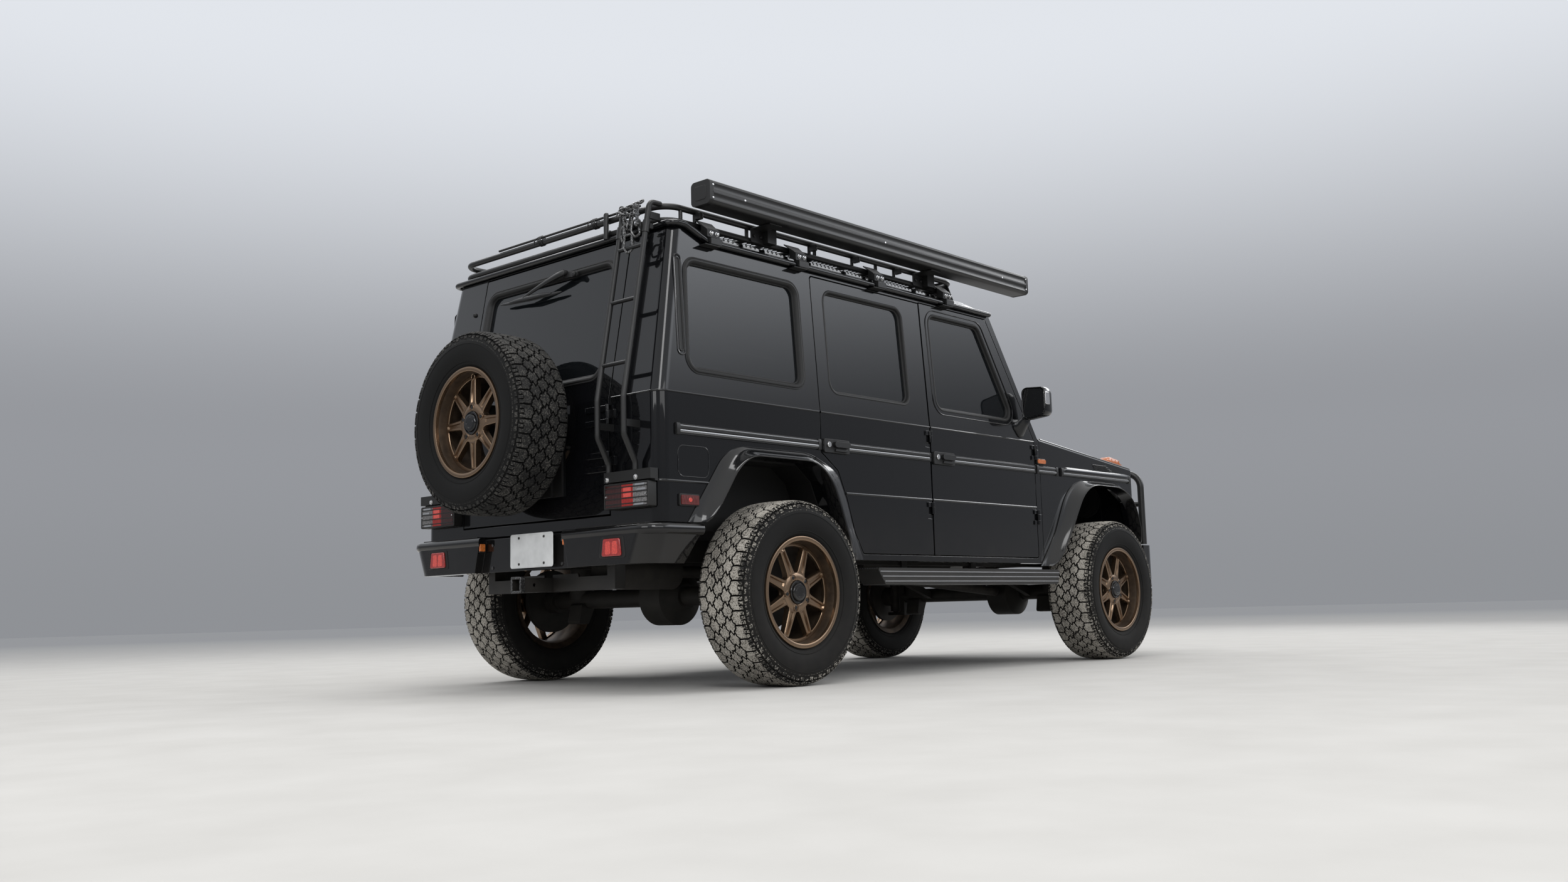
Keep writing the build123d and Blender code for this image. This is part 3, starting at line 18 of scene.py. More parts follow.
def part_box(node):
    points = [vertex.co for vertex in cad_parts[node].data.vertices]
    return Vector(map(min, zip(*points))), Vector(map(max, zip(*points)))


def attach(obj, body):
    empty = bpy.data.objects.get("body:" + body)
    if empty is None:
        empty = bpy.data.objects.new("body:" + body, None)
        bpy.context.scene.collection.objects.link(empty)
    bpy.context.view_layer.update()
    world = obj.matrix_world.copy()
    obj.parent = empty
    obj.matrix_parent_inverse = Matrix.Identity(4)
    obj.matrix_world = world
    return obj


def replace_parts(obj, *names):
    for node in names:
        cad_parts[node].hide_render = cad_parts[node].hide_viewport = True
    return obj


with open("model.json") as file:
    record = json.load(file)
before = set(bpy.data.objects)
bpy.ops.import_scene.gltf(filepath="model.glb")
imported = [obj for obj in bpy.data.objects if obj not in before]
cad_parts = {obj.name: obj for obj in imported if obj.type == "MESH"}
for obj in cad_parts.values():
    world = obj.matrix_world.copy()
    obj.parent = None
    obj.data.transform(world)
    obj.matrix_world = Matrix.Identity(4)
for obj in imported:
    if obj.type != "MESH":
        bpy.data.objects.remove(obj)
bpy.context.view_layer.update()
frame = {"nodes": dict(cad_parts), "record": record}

# %% [markdown]
# ## Camera
#
# The photograph was taken low, behind the vehicle's right side. The axles, the belt line and the rear
# lamps were matched to the picture, which fixes the place, the direction and the focal length.

# %% Camera
camera_place = Vector((-5.7575, -4.9268, 0.325))
camera_yaw = 0.7316
camera_pitch = 0.1252
camera_roll = -0.0248
focal_pixels = 2161.4
photo_width = 2500

forward = Vector((math.cos(camera_yaw) * math.cos(camera_pitch),
                  math.sin(camera_yaw) * math.cos(camera_pitch), math.sin(camera_pitch)))
level = Vector((math.sin(camera_yaw), -math.cos(camera_yaw), 0.0))
upright = level.cross(forward)
right = level * math.cos(camera_roll) + upright * math.sin(camera_roll)
up = upright * math.cos(camera_roll) - level * math.sin(camera_roll)
camera_data = bpy.data.cameras.new("camera")
camera_data.sensor_width = 36.0
camera_data.lens = camera_data.sensor_width * focal_pixels / photo_width
camera = bpy.data.objects.new("camera", camera_data)
bpy.context.scene.collection.objects.link(camera)
camera.matrix_world = Matrix((
    (right.x, up.x, -forward.x, camera_place.x),
    (right.y, up.y, -forward.y, camera_place.y),
    (right.z, up.z, -forward.z, camera_place.z),
    (0.0, 0.0, 0.0, 1.0)))
bpy.context.scene.camera = camera
print("lens:", round(camera_data.lens, 2), "mm")

# %% [markdown]
# ## Light and floor
#
# Gloss black shows little but what it mirrors, so the sky matters more than the lamps. It is a graded
# dome, as under thin cloud: a quiet grey at the horizon, where the flat sides look, and bright
# overhead, where the edges and the roof look. A few wide panels soften the shadows.

# %% Sky
scene = bpy.context.scene
scene.view_settings.view_transform = "Standard"
world = bpy.data.worlds.new("studio")
world.use_nodes = True
scene.world = world
sky = world.node_tree.nodes["Background"]


def sky_node(kind, **settings):
    node = world.node_tree.nodes.new(kind)
    for key, value in settings.items():
        setattr(node, key, value)
    return node


def sky_link(source, output, target, socket):
    world.node_tree.links.new(source.outputs[output], target.inputs[socket])


def set_stops(node, stops):
    """Give a colour ramp its stops: (position, colour) pairs."""
    elements = node.color_ramp.elements
    while len(elements) < len(stops):
        elements.new(0.5)
    for element, (position, colour) in zip(elements, stops):
        element.position = position
        element.color = (*colour, 1.0)


direction = sky_node("ShaderNodeTexCoord")
height = sky_node("ShaderNodeSeparateXYZ")
dome = sky_node("ShaderNodeValToRGB")
dome.color_ramp.interpolation = "EASE"
set_stops(dome, [(0.0, (0.29, 0.30, 0.32)), (0.13, (0.32, 0.33, 0.355)), (0.40, (0.80, 0.83, 0.88)),
                 (0.85, (1.0, 1.0, 1.0))])
sky_link(direction, "Generated", height, "Vector")
sky_link(height, "Z", dome, "Fac")
sky_link(dome, "Color", sky, "Color")


def sky_range(source, output, start, end):
    """Nought below one value and one above another, with a smooth step between."""
    node = sky_node("ShaderNodeMapRange", interpolation_type="SMOOTHSTEP")
    node.inputs["From Min"].default_value = start
    node.inputs["From Max"].default_value = end
    sky_link(source, output, node, "Value")
    return node


# Thin cloud is brighter in one quarter, ahead and to the right, which the windows mirror
toward = sky_node("ShaderNodeVectorMath", operation="DOT_PRODUCT")
toward.inputs[1].default_value = (0.707, -0.707, 0.0)
sky_link(direction, "Generated", toward, 0)
quarter = sky_range(toward, "Value", 0.72, 0.90)
above = sky_range(height, "Z", 0.20, 0.42)
glow = sky_node("ShaderNodeMath", operation="MULTIPLY")
sky_link(quarter, "Result", glow, 0)
sky_link(above, "Result", glow, 1)
brightness = sky_node("ShaderNodeMath", operation="MULTIPLY_ADD")
sky_link(glow, "Value", brightness, 0)
brightness.inputs[1].default_value = 3.2
brightness.inputs[2].default_value = 0.95
sky_link(brightness, "Value", sky, "Strength")


# %% Panels and floor
def panel_light(name, place, aim, width, height, watts):
    data = bpy.data.lights.new(name, "AREA")
    data.shape = "RECTANGLE"
    data.size = width
    data.size_y = height
    data.energy = watts
    lamp = bpy.data.objects.new(name, data)
    scene.collection.objects.link(lamp)
    direction = Vector(aim) - Vector(place)
    lamp.location = place
    lamp.rotation_euler = direction.to_track_quat("-Z", "Y").to_euler()


panel_light("over", (-1.6, -0.6, 6.2), (-1.6, -0.6, 0.0), 3.2, 2.2, 110.0)
panel_light("right_side", (-4.0, -8.0, 3.6), (0.0, 0.0, 1.2), 6.0, 2.5, 90.0)
panel_light("behind", (-9.0, -1.0, 3.4), (0.0, 0.0, 1.2), 4.0, 2.2, 80.0)
# The next three are seen as the bright lines along the edges and down the rear corner
panel_light("behind_camera", (-9.4, -8.6, 7.4), (-1.5, -0.8, 1.4), 3.2, 5.2, 330.0)
panel_light("ahead", (9.5, -0.5, 6.2), (0.0, 0.0, 1.2), 9.0, 2.2, 300.0)
panel_light("left_high", (-0.5, 6.2, 8.0), (0.0, 0.0, 1.2), 7.0, 1.8, 190.0)

floor_mesh = bpy.data.meshes.new("floor")
floor_mesh.from_pydata([(-60, -60, 0), (60, -60, 0), (60, 60, 0), (-60, 60, 0)], [], [(0, 1, 2, 3)])
floor = bpy.data.objects.new("floor", floor_mesh)
scene.collection.objects.link(floor)

# %% [markdown]
# ## Finishes
#
# Each finish is a small tree of nodes on the object's own coordinates. A helper makes the shader and
# its usual parts: a noise, a ramp between two colours, and a bump.


# %% Helpers for finishes
def shader_of(material):
    return material.node_tree.nodes["Principled BSDF"]


def finish(name, colour, roughness=0.5, metallic=0.0, coat=0.0, specular=0.5):
    material = bpy.data.materials.new(name)
    material.use_nodes = True
    shader = shader_of(material)
    shader.inputs["Base Color"].default_value = (*colour, 1.0)
    shader.inputs["Roughness"].default_value = roughness
    shader.inputs["Metallic"].default_value = metallic
    shader.inputs["Coat Weight"].default_value = coat
    shader.inputs["Coat Roughness"].default_value = 0.03
    shader.inputs["Specular IOR Level"].default_value = specular
    return material


def add_node(material, kind, **values):
    node = material.node_tree.nodes.new(kind)
    for key, value in values.items():
        if key in node.inputs:
            node.inputs[key].default_value = value
        else:
            setattr(node, key, value)
    return node


def join(material, source, output, target, socket):
    material.node_tree.links.new(source.outputs[output], target.inputs[socket])


def noise(material, scale, detail=4.0, stretch=(1.0, 1.0, 1.0)):
    place = add_node(material, "ShaderNodeTexCoord")
    mapping = add_node(material, "ShaderNodeMapping")
    mapping.inputs["Scale"].default_value = stretch
    join(material, place, "Object", mapping, "Vector")
    texture = add_node(material, "ShaderNodeTexNoise")
    texture.inputs["Scale"].default_value = scale
    texture.inputs["Detail"].default_value = detail
    join(material, mapping, "Vector", texture, "Vector")
    return texture


def ramp(material, source, output, stops):
    node = add_node(material, "ShaderNodeValToRGB")
    set_stops(node, stops)
    join(material, source, output, node, "Fac")
    return node


def bump(material, source, output, strength, distance):
    node = add_node(material, "ShaderNodeBump")
    node.inputs["Strength"].default_value = strength
    node.inputs["Distance"].default_value = distance
    join(material, source, output, node, "Height")
    join(material, node, "Normal", shader_of(material), "Normal")


def grained(material, scale, strength, distance, detail=4.0, stretch=(1.0, 1.0, 1.0)):
    """A fine noise in the surface."""
    bump(material, noise(material, scale, detail, stretch), "Fac", strength, distance)


def toned(material, scale, detail, stops):
    """A colour that wanders between stops with a noise."""
    tone = ramp(material, noise(material, scale, detail), "Fac", stops)
    join(material, tone, "Color", shader_of(material), "Base Color")


def grey(value):
    return (value, value, value)


# %% [markdown]
# ### Pale studio floor
#
# A plain warm grey with a hint of unevenness. It is matt, so the vehicle's shadow is soft and nothing
# is mirrored in it.

# %% Floor finish
floor_finish = finish("studio_floor", (0.50, 0.49, 0.47), roughness=0.95, specular=0.1)
mottle = noise(floor_finish, 3.0)
tint = ramp(floor_finish, mottle, "Fac", [(0.3, (0.47, 0.46, 0.44)), (0.7, (0.51, 0.50, 0.48))])
# Far out the floor darkens to the horizon's grey, so that no hard line shows behind the vehicle
floor_place = add_node(floor_finish, "ShaderNodeTexCoord")
floor_reach = add_node(floor_finish, "ShaderNodeVectorMath", operation="LENGTH")
join(floor_finish, floor_place, "Object", floor_reach, "Vector")
floor_fade = add_node(floor_finish, "ShaderNodeMapRange")
floor_fade.inputs["From Min"].default_value = 6.0
floor_fade.inputs["From Max"].default_value = 26.0
join(floor_finish, floor_reach, "Value", floor_fade, "Value")
floor_mix = add_node(floor_finish, "ShaderNodeMix", data_type="RGBA")
floor_mix.inputs["B"].default_value = (0.315, 0.32, 0.33, 1.0)
join(floor_finish, floor_fade, "Result", floor_mix, "Factor")
join(floor_finish, tint, "Color", floor_mix, "A")
join(floor_finish, floor_mix, "Result", shader_of(floor_finish), "Base Color")
floor_mesh.materials.append(floor_finish)

# %% [markdown]
# ### Gloss black paint
#
# Deep black under a clear coat. A bevel node rounds every sheet edge in the shading, which is what
# catches the light along a door's rim. Fine dust dulls the coat low down.


# %% Paint
edge_radius = 0.0025     # two and a half millimetres
dust = (0.36, 0.31, 0.25)


def soft_edges(material):
    node = add_node(material, "ShaderNodeBevel", samples=6)
    node.inputs["Radius"].default_value = edge_radius
    join(material, node, "Normal", shader_of(material), "Normal")
    join(material, node, "Normal", shader_of(material), "Coat Normal")


def height_mask(material, low, high):
    """White at and below one height, black at and above the other."""
    place = add_node(material, "ShaderNodeTexCoord")
    split = add_node(material, "ShaderNodeSeparateXYZ")
    join(material, place, "Object", split, "Vector")
    span = add_node(material, "ShaderNodeMapRange")
    span.inputs["From Min"].default_value = low
    span.inputs["From Max"].default_value = high
    span.inputs["To Min"].default_value = 1.0
    span.inputs["To Max"].default_value = 0.0
    join(material, split, "Z", span, "Value")
    return span


def dusted(material, low, high, most, roughness, scale=9.0):
    """Mix dust over a finish below a height, broken up by a noise."""
    shader = shader_of(material)
    mask = height_mask(material, low, high)
    cloud = noise(material, scale, detail=6.0)
    cover = add_node(material, "ShaderNodeMath", operation="MULTIPLY")
    join(material, mask, "Result", cover, 0)
    join(material, cloud, "Fac", cover, 1)
    amount = add_node(material, "ShaderNodeMath", operation="MULTIPLY")
    amount.inputs[1].default_value = most
    join(material, cover, "Value", amount, 0)
    mix = add_node(material, "ShaderNodeMix", data_type="RGBA")
    mix.inputs["A"].default_value = shader.inputs["Base Color"].default_value[:]
    mix.inputs["B"].default_value = (*dust, 1.0)
    join(material, amount, "Value", mix, "Factor")
    join(material, mix, "Result", shader, "Base Color")
    rough = add_node(material, "ShaderNodeMapRange")
    rough.inputs["To Min"].default_value = shader.inputs["Roughness"].default_value
    rough.inputs["To Max"].default_value = roughness
    join(material, amount, "Value", rough, "Value")
    join(material, rough, "Result", shader, "Roughness")


paint = finish("gloss_black_paint", (0.0030, 0.0032, 0.0038), roughness=0.22, coat=1.0, specular=0.05)
shader_of(paint).inputs["Coat IOR"].default_value = 1.44
soft_edges(paint)
dusted(paint, 0.55, 0.85, 0.03, 0.5)

satin = finish("satin_black_coat", grey(0.009), roughness=0.38, specular=0.4)
grained(satin, 900.0, 0.25, 0.0006, detail=2.0)
dusted(satin, 0.3, 0.9, 0.08, 0.8)

moulded = finish("moulded_black", grey(0.010), roughness=0.5, specular=0.35)
grained(moulded, 700.0, 0.3, 0.0006)
dusted(moulded, 0.4, 0.9, 0.08, 0.85)

chassis = finish("chassis_black", grey(0.008), roughness=0.6, specular=0.25)
dusted(chassis, 0.2, 0.9, 0.10, 0.9, scale=14.0)

cast = finish("dusty_cast_iron", (0.020, 0.019, 0.018), roughness=0.65, metallic=0.2, specular=0.3)
dusted(cast, 0.2, 0.9, 0.16, 0.95, scale=18.0)

rubber = finish("seal_rubber", grey(0.01), roughness=0.55, specular=0.35)
grained(rubber, 260.0, 0.12, 0.0008)

bright = finish("bright_metal", grey(0.62), roughness=0.22, metallic=1.0)
grained(bright, 120.0, 0.05, 0.0005, stretch=(0.05, 1.0, 1.0))

glass = finish("tinted_glass", (0.006, 0.007, 0.008), roughness=0.03)
shader_of(glass).inputs["Alpha"].default_value = 0.90
shader_of(glass).inputs["IOR"].default_value = 1.52
grained(glass, 1.6, 0.02, 0.02, detail=1.0)

dark_metal = finish("dark_bright_trim", grey(0.24), roughness=0.24, metallic=1.0, coat=0.5)
grained(dark_metal, 300.0, 0.06, 0.0005, stretch=(0.02, 1.0, 1.0))
gunmetal = finish("worn_gunmetal", grey(0.085), roughness=0.34, metallic=0.9)
toned(gunmetal, 180.0, 5.0, [(0.45, grey(0.06)), (0.70, grey(0.30))])
paint_trim = finish("flare_paint", (0.003, 0.0032, 0.0038), roughness=0.30, coat=0.95, specular=0.05)
shader_of(paint_trim).inputs["Coat Roughness"].default_value = 0.09
dusted(paint_trim, 0.5, 0.8, 0.03, 0.5)


def lens_finish(name, colour, glow=0.0, glow_colour=None):
    """A moulded lens: a deep colour, a pebbled surface, a hard coat, and a faint light where it is lit."""
    material = finish(name, colour, roughness=0.18, coat=1.0)
    shader = shader_of(material)
    cells = add_node(material, "ShaderNodeTexVoronoi")
    cells.inputs["Scale"].default_value = 150.0
    place = add_node(material, "ShaderNodeTexCoord")
    join(material, place, "Object", cells, "Vector")
    shade = ramp(material, cells, "Distance", [(0.0, colour), (0.7, tuple(c * 0.45 for c in colour))])
    join(material, shade, "Color", shader, "Base Color")
    bump(material, cells, "Distance", 0.35, 0.001)
    if glow:
        shader.inputs["Emission Color"].default_value = (*glow_colour, 1.0)
        shader.inputs["Emission Strength"].default_value = glow
    return material


lens_red = lens_finish("red_lens", (0.30, 0.012, 0.010), 0.10, (1.0, 0.07, 0.05))
lens_lit = lens_finish("lit_red_lens", (0.45, 0.03, 0.025), 0.28, (1.0, 0.13, 0.09))
lens_marker = lens_finish("marker_lens", (0.10, 0.012, 0.010), 0.03, (1.0, 0.07, 0.05))
lens_clear = lens_finish("clear_lens", (0.30, 0.29, 0.29))
lens_amber = lens_finish("amber_lens", (0.60, 0.15, 0.03), 0.12, (1.0, 0.30, 0.06))
lens_smoked = lens_finish("smoked_lens", (0.075, 0.016, 0.014))
lamp_silver = finish("lamp_reflector", grey(0.72), roughness=0.12, metallic=1.0)
grained(lamp_silver, 90.0, 0.2, 0.002)
lamp_glass = finish("lamp_glass", (0.55, 0.57, 0.60), roughness=0.05, coat=1.0)
shader_of(lamp_glass).inputs["Alpha"].default_value = 0.35
grained(lamp_glass, 60.0, 0.3, 0.002, stretch=(1.0, 4.0, 0.3))
plate_white = finish("plate_white", grey(0.62), roughness=0.35)
toned(plate_white, 14.0, 6.0, [(0.35, (0.54, 0.55, 0.55)), (0.65, (0.66, 0.67, 0.67))])


def tyre_finish(name, dusty):
    """Rubber with dry sand pressed into its face: a coarse cloud of cover and a gravelly grain."""
    material = finish(name, grey(0.014), roughness=0.85, specular=0.2)
    cloud = noise(material, 9.0, detail=4.0)
    grit = noise(material, 170.0, detail=6.0)
    part = add_node(material, "ShaderNodeMath", operation="MULTIPLY")
    part.inputs[1].default_value = 0.3
    join(material, cloud, "Fac", part, 0)
    both = add_node(material, "ShaderNodeMath", operation="MULTIPLY_ADD")
    both.inputs[1].default_value = 0.7
    join(material, grit, "Fac", both, 0)
    join(material, part, "Value", both, 2)
    sand = ramp(material, both, "Value", dusty)
    join(material, sand, "Color", shader_of(material), "Base Color")
    bump(material, grit, "Fac", 0.6, 0.002)
    return material


tread = tyre_finish("sandy_tread", [(0.39, (0.05, 0.047, 0.042)), (0.46, (0.22, 0.205, 0.18)),
                                    (0.56, (0.42, 0.395, 0.35))])
sidewall = finish("tyre_sidewall", grey(0.006), roughness=0.75, specular=0.18)
grained(sidewall, 300.0, 0.15, 0.0008)
dusted(sidewall, 0.25, 0.75, 0.03, 0.5, scale=22.0)
tread_edge = tyre_finish("flecked_shoulder", [(0.44, grey(0.012)), (0.51, (0.055, 0.051, 0.045)),
                                              (0.59, (0.34, 0.32, 0.28))])
tread_clean = tyre_finish("spare_tread", [(0.44, grey(0.012)), (0.54, (0.030, 0.029, 0.027)),
                                          (0.66, (0.11, 0.105, 0.095))])
bronze = finish("bronze_alloy", (0.215, 0.148, 0.098), roughness=0.27, metallic=0.9)
grained(bronze, 800.0, 0.06, 0.0004, detail=2.0)
# The barrel's darker bronze is painted shade deep inside the wheel; the real wheel is one colour
bronze_painted_shade = finish("bronze_barrel_painted_shade", (0.085, 0.058, 0.038), roughness=0.5, metallic=0.7)
toned(bronze_painted_shade, 24.0, 6.0, [(0.3, (0.05, 0.036, 0.026)), (0.7, (0.095, 0.066, 0.044))])
leather = finish("black_leather", grey(0.015), roughness=0.5)
grained(leather, 320.0, 0.35, 0.0008, detail=3.0)
trim = finish("cabin_plastic", grey(0.02), roughness=0.65)
grained(trim, 600.0, 0.3, 0.0006, detail=2.0)

# %% Finishes of the CAD nodes
finish_of_slot = {
    "body_paint": paint,
    "black_trim": moulded,
    "satin_black_metal": satin,
    "frame_black": chassis,
    "hub_metal": cast,
    "tinted_glass": glass,
    "tyre_rubber": tread,
    "bronze_wheel": bronze,
    "red_lens": lens_red,
    "clear_lens": lens_clear,
    "awning_aluminium": satin,
    "interior_plastic": trim,
    "seat_leather": leather,
}
# A few nodes take another finish than their slot's: most are painted on the real vehicle, the rest moulded
# or satin
finish_of_node = {
    "rear_bumper": paint, "front_bumper": paint, "mirror_left": paint, "mirror_right": paint,
    "roof_panel": paint, "front_lamps": moulded, "hitch_receiver": satin, "running_boards": satin,
}
slot_of_node = {part["node"]: part["material_slot"] for part in frame["record"]["subparts"]}
for node_name, slot_name in slot_of_node.items():
    node_data = frame["nodes"][node_name].data
    node_data.materials.clear()
    node_data.materials.append(finish_of_node.get(node_name, finish_of_slot[slot_name]))
print("finishes set on", len(slot_of_node), "nodes")

# %% [markdown]
# ## Ways of making shapes
#
# Most of what follows is one of four things: a strip that follows a line on a wall, a tube along a
# bent path, a form turned about an axis, or a block. Each helper adds to a bmesh, and one function
# turns that into a finished piece that rides on a body.


# %% Helpers for shapes
def shape():
    return bmesh.new()


def skin_rings(mesh, rings, closed_path=False):
    """Join a row of equal rings of points with faces, and fill the first and the last."""
    rows = [[mesh.verts.new(point) for point in ring] for ring in rings]
    pairs = list(zip(rows, rows[1:]))
    if closed_path:
        pairs.append((rows[-1], rows[0]))
    count = len(rows[0])
    for low, high in pairs:
        for i in range(count):
            j = (i + 1) % count
            mesh.faces.new((low[i], low[j], high[j], high[i]))
    if not closed_path:
        mesh.faces.new(list(reversed(rows[0])))
        mesh.faces.new(rows[-1])


def block(mesh, low, high):
    corners = [Vector((x, y, z)) for x in (low[0], high[0]) for y in (low[1], high[1])
               for z in (low[2], high[2])]
    verts = [mesh.verts.new(corner) for corner in corners]
    for face in ((0, 1, 3, 2), (4, 6, 7, 5), (0, 4, 5, 1), (2, 3, 7, 6), (0, 2, 6, 4), (1, 5, 7, 3)):
        mesh.faces.new([verts[i] for i in face])


def side_block(mesh, side, x, y, z):
    """A block on one side of the vehicle; y is given as distances from the middle."""
    near, far = sorted((side * y[0], side * y[1]))
    block(mesh, (x[0], near, z[0]), (x[1], far, z[1]))


def rounded_path(points, bend, steps=6):
    """Replace each inner corner of a route with an arc of the given radius."""
    points = [Vector(p) for p in points]
    path = [points[0]]
    for before, corner, after in zip(points, points[1:], points[2:]):
        back = (before - corner).normalized()
        on = (after - corner).normalized()
        half = back.angle(on) / 2
        reach = min(bend / math.tan(half), (before - corner).length * 0.49, (after - corner).length * 0.49)
        start, end = corner + back * reach, corner + on * reach
        for i in range(steps + 1):
            t = i / steps
            path.append(start.lerp(corner, t).lerp(corner.lerp(end, t), t))
    path.append(points[-1])
    return path


def tube(mesh, points, radius, sides=12, closed=False, flat=1.0):
    """A round bar along a path, with a frame that doesn't twist."""
    points = [Vector(p) for p in points]
    count = len(points)
    rings = []
    side = None
    for i, point in enumerate(points):
        ahead = points[(i + 1) % count] if closed or i < count - 1 else point
        behind = points[i - 1] if closed or i > 0 else point
        along = (ahead - behind).normalized()
        if side is None:
            side = along.cross(Vector((0, 0, 1)) if abs(along.z) < 0.9 else Vector((1, 0, 0))).normalized()
        side = (side - along * side.dot(along)).normalized()
        other = along.cross(side)
        rings.append([point + side * math.cos(a) * radius + other * math.sin(a) * radius * flat
                      for a in (2 * math.pi * k / sides for k in range(sides))])
    skin_rings(mesh, rings, closed_path=closed)


def turn(mesh, profile, centre, axis, steps=48, closed=False):
    """A profile of (axial, radial) pairs turned about an axis."""
    centre, axis = Vector(centre), Vector(axis).normalized()
    side = axis.cross(Vector((0, 0, 1)) if abs(axis.z) < 0.9 else Vector((1, 0, 0))).normalized()
    other = axis.cross(side)
    rings = [[centre + axis * x + (side * math.cos(a) + other * math.sin(a)) * max(r, 1e-5)
              for a in (2 * math.pi * k / steps for k in range(steps))] for x, r in profile]
    skin_rings(mesh, rings, closed_path=closed)


def rounded_loop(corners, radius, steps=6, closed=True):
    """An outline of (u, v) corners with round corners."""
    loop = []
    count = len(corners)
    for i, corner in enumerate(corners):
        here = Vector(corner)
        if not closed and i in (0, count - 1):
            loop.append(here)
            continue
        back = Vector(corners[i - 1]) - here
        on = Vector(corners[(i + 1) % count]) - here
        half = back.angle(on) / 2
        if half > 1.55:
            loop.append(here)
            continue
        reach = min(radius / math.tan(half), back.length * 0.49, on.length * 0.49)
        start, end = here + back.normalized() * reach, here + on.normalized() * reach
        bend = reach * math.tan(half)
        centre = here + (back.normalized() + on.normalized()).normalized() * bend / math.sin(half)
        first = start - centre
        turn_by = first.angle_signed(end - centre)
        for k in range(steps + 1):
            loop.append(centre + Matrix.Rotation(-turn_by * k / steps, 2) @ first)
    return loop


def rounded_box(low_u, high_u, low_v, high_v, radius, steps=6):
    corners = [(low_u, low_v), (high_u, low_v), (high_u, high_v), (low_u, high_v)]
    return rounded_loop(corners, radius, steps)


def tapered(middle, foot_half, head_half, low, high, radius):
    """An upright outline with round corners whose foot and head differ in width."""
    return rounded_loop([(middle - foot_half, low), (middle + foot_half, low), (middle + head_half, high),
                         (middle - head_half, high)], radius, 4)


def strip(mesh, loop, section, at):
    """Sweep a closed section of (inset, height) pairs along a loop drawn on a wall."""
    count = len(loop)
    rings = []
    for i, here in enumerate(loop):
        ahead, behind = loop[(i + 1) % count], loop[i - 1]
        on = (ahead - here).normalized() if (ahead - here).length else (here - behind).normalized()
        back = (here - behind).normalized() if (here - behind).length else on
        normal = Vector((-(on.y + back.y), on.x + back.x)).normalized()
        spread = 1.0 / max(0.5, normal.dot(Vector((-on.y, on.x))))
        rings.append([at(*(here + normal * inset * spread), height) for inset, height in section])
    skin_rings(mesh, rings, closed_path=True)


def panel(mesh, loop, at, low, high):
    """A flat plate of the loop's outline between two heights."""
    skin_rings(mesh, [[at(u, v, h) for u, v in loop] for h in (low, high)])


def half_round(width, height, steps=6):
    """The section of a bead: flat below, round above."""
    return [(-width / 2, -0.002)] + [(-width / 2 * math.cos(math.pi * k / steps),
                                      height * math.sin(math.pi * k / steps))
                                     for k in range(steps + 1)] + [(width / 2, -0.002)]


def piece(name, mesh, material, body, slot, bevel=0.0, segments=2, angle=32.0, merge=0.00002):
    """Turn a bmesh into a finished object that rides on a body."""
    bmesh.ops.remove_doubles(mesh, verts=mesh.verts, dist=merge)
    bmesh.ops.dissolve_degenerate(mesh, edges=mesh.edges, dist=merge)
    bmesh.ops.recalc_face_normals(mesh, faces=mesh.faces)
    data = bpy.data.meshes.new(name)
    mesh.to_mesh(data)
    mesh.free()
    return dress(name, data, material, body, slot, bevel, segments, angle)


def dress(name, data, material, body, slot, bevel=0.0, segments=2, angle=32.0):
    data.materials.clear()
    data.materials.append(material)
    data.shade_smooth()
    data.set_sharp_from_angle(angle=math.radians(angle))
    made = bpy.data.objects.new(name, data)
    scene.collection.objects.link(made)
    if bevel:
        edge = made.modifiers.new("edge", "BEVEL")
        edge.width = bevel
        edge.segments = segments
        edge.limit_method = "ANGLE"
        edge.angle_limit = math.radians(35.0)
        edge.harden_normals = True
    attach(made, body)
    return made


# %% [markdown]
# ### Repeats with Geometry Nodes
#
# Tread blocks, spokes, bolts and slats are one shape set out many times. One small tree does them
# all: a line of points, each turned and moved by its own number, with the shape placed on each. It
# ends in Realize Instances and Set Material, and its result is kept as a plain mesh.


# %% Helper for repeats
def repeat_tree(name):
    tree = bpy.data.node_groups.new(name, "GeometryNodeTree")
    face = tree.interface
    face.new_socket("Geometry", in_out="INPUT", socket_type="NodeSocketGeometry")
    face.new_socket("Count", in_out="INPUT", socket_type="NodeSocketInt")
    face.new_socket("Offset", in_out="INPUT", socket_type="NodeSocketVector")
    face.new_socket("Turn", in_out="INPUT", socket_type="NodeSocketVector")
    face.new_socket("Material", in_out="INPUT", socket_type="NodeSocketMaterial")
    face.new_socket("Geometry", in_out="OUTPUT", socket_type="NodeSocketGeometry")
    nodes, link = tree.nodes, tree.links.new
    source = nodes.new("NodeGroupInput")
    points = nodes.new("GeometryNodeMeshLine")
    link(source.outputs["Count"], points.inputs["Count"])
    link(source.outputs["Offset"], points.inputs["Offset"])
    index = nodes.new("GeometryNodeInputIndex")
    turned = nodes.new("ShaderNodeVectorMath")
    turned.operation = "SCALE"
    link(source.outputs["Turn"], turned.inputs[0])
    link(index.outputs["Index"], turned.inputs["Scale"])
    spread = nodes.new("GeometryNodeInstanceOnPoints")
    link(points.outputs["Mesh"], spread.inputs["Points"])
    link(source.outputs["Geometry"], spread.inputs["Instance"])
    link(turned.outputs["Vector"], spread.inputs["Rotation"])
    real = nodes.new("GeometryNodeRealizeInstances")
    link(spread.outputs["Instances"], real.inputs["Geometry"])
    coat = nodes.new("GeometryNodeSetMaterial")
    link(real.outputs["Geometry"], coat.inputs["Geometry"])
    link(source.outputs["Material"], coat.inputs["Material"])
    end = nodes.new("NodeGroupOutput")
    link(coat.outputs["Geometry"], end.inputs["Geometry"])
    return tree


repeat_nodes = repeat_tree("repeat")


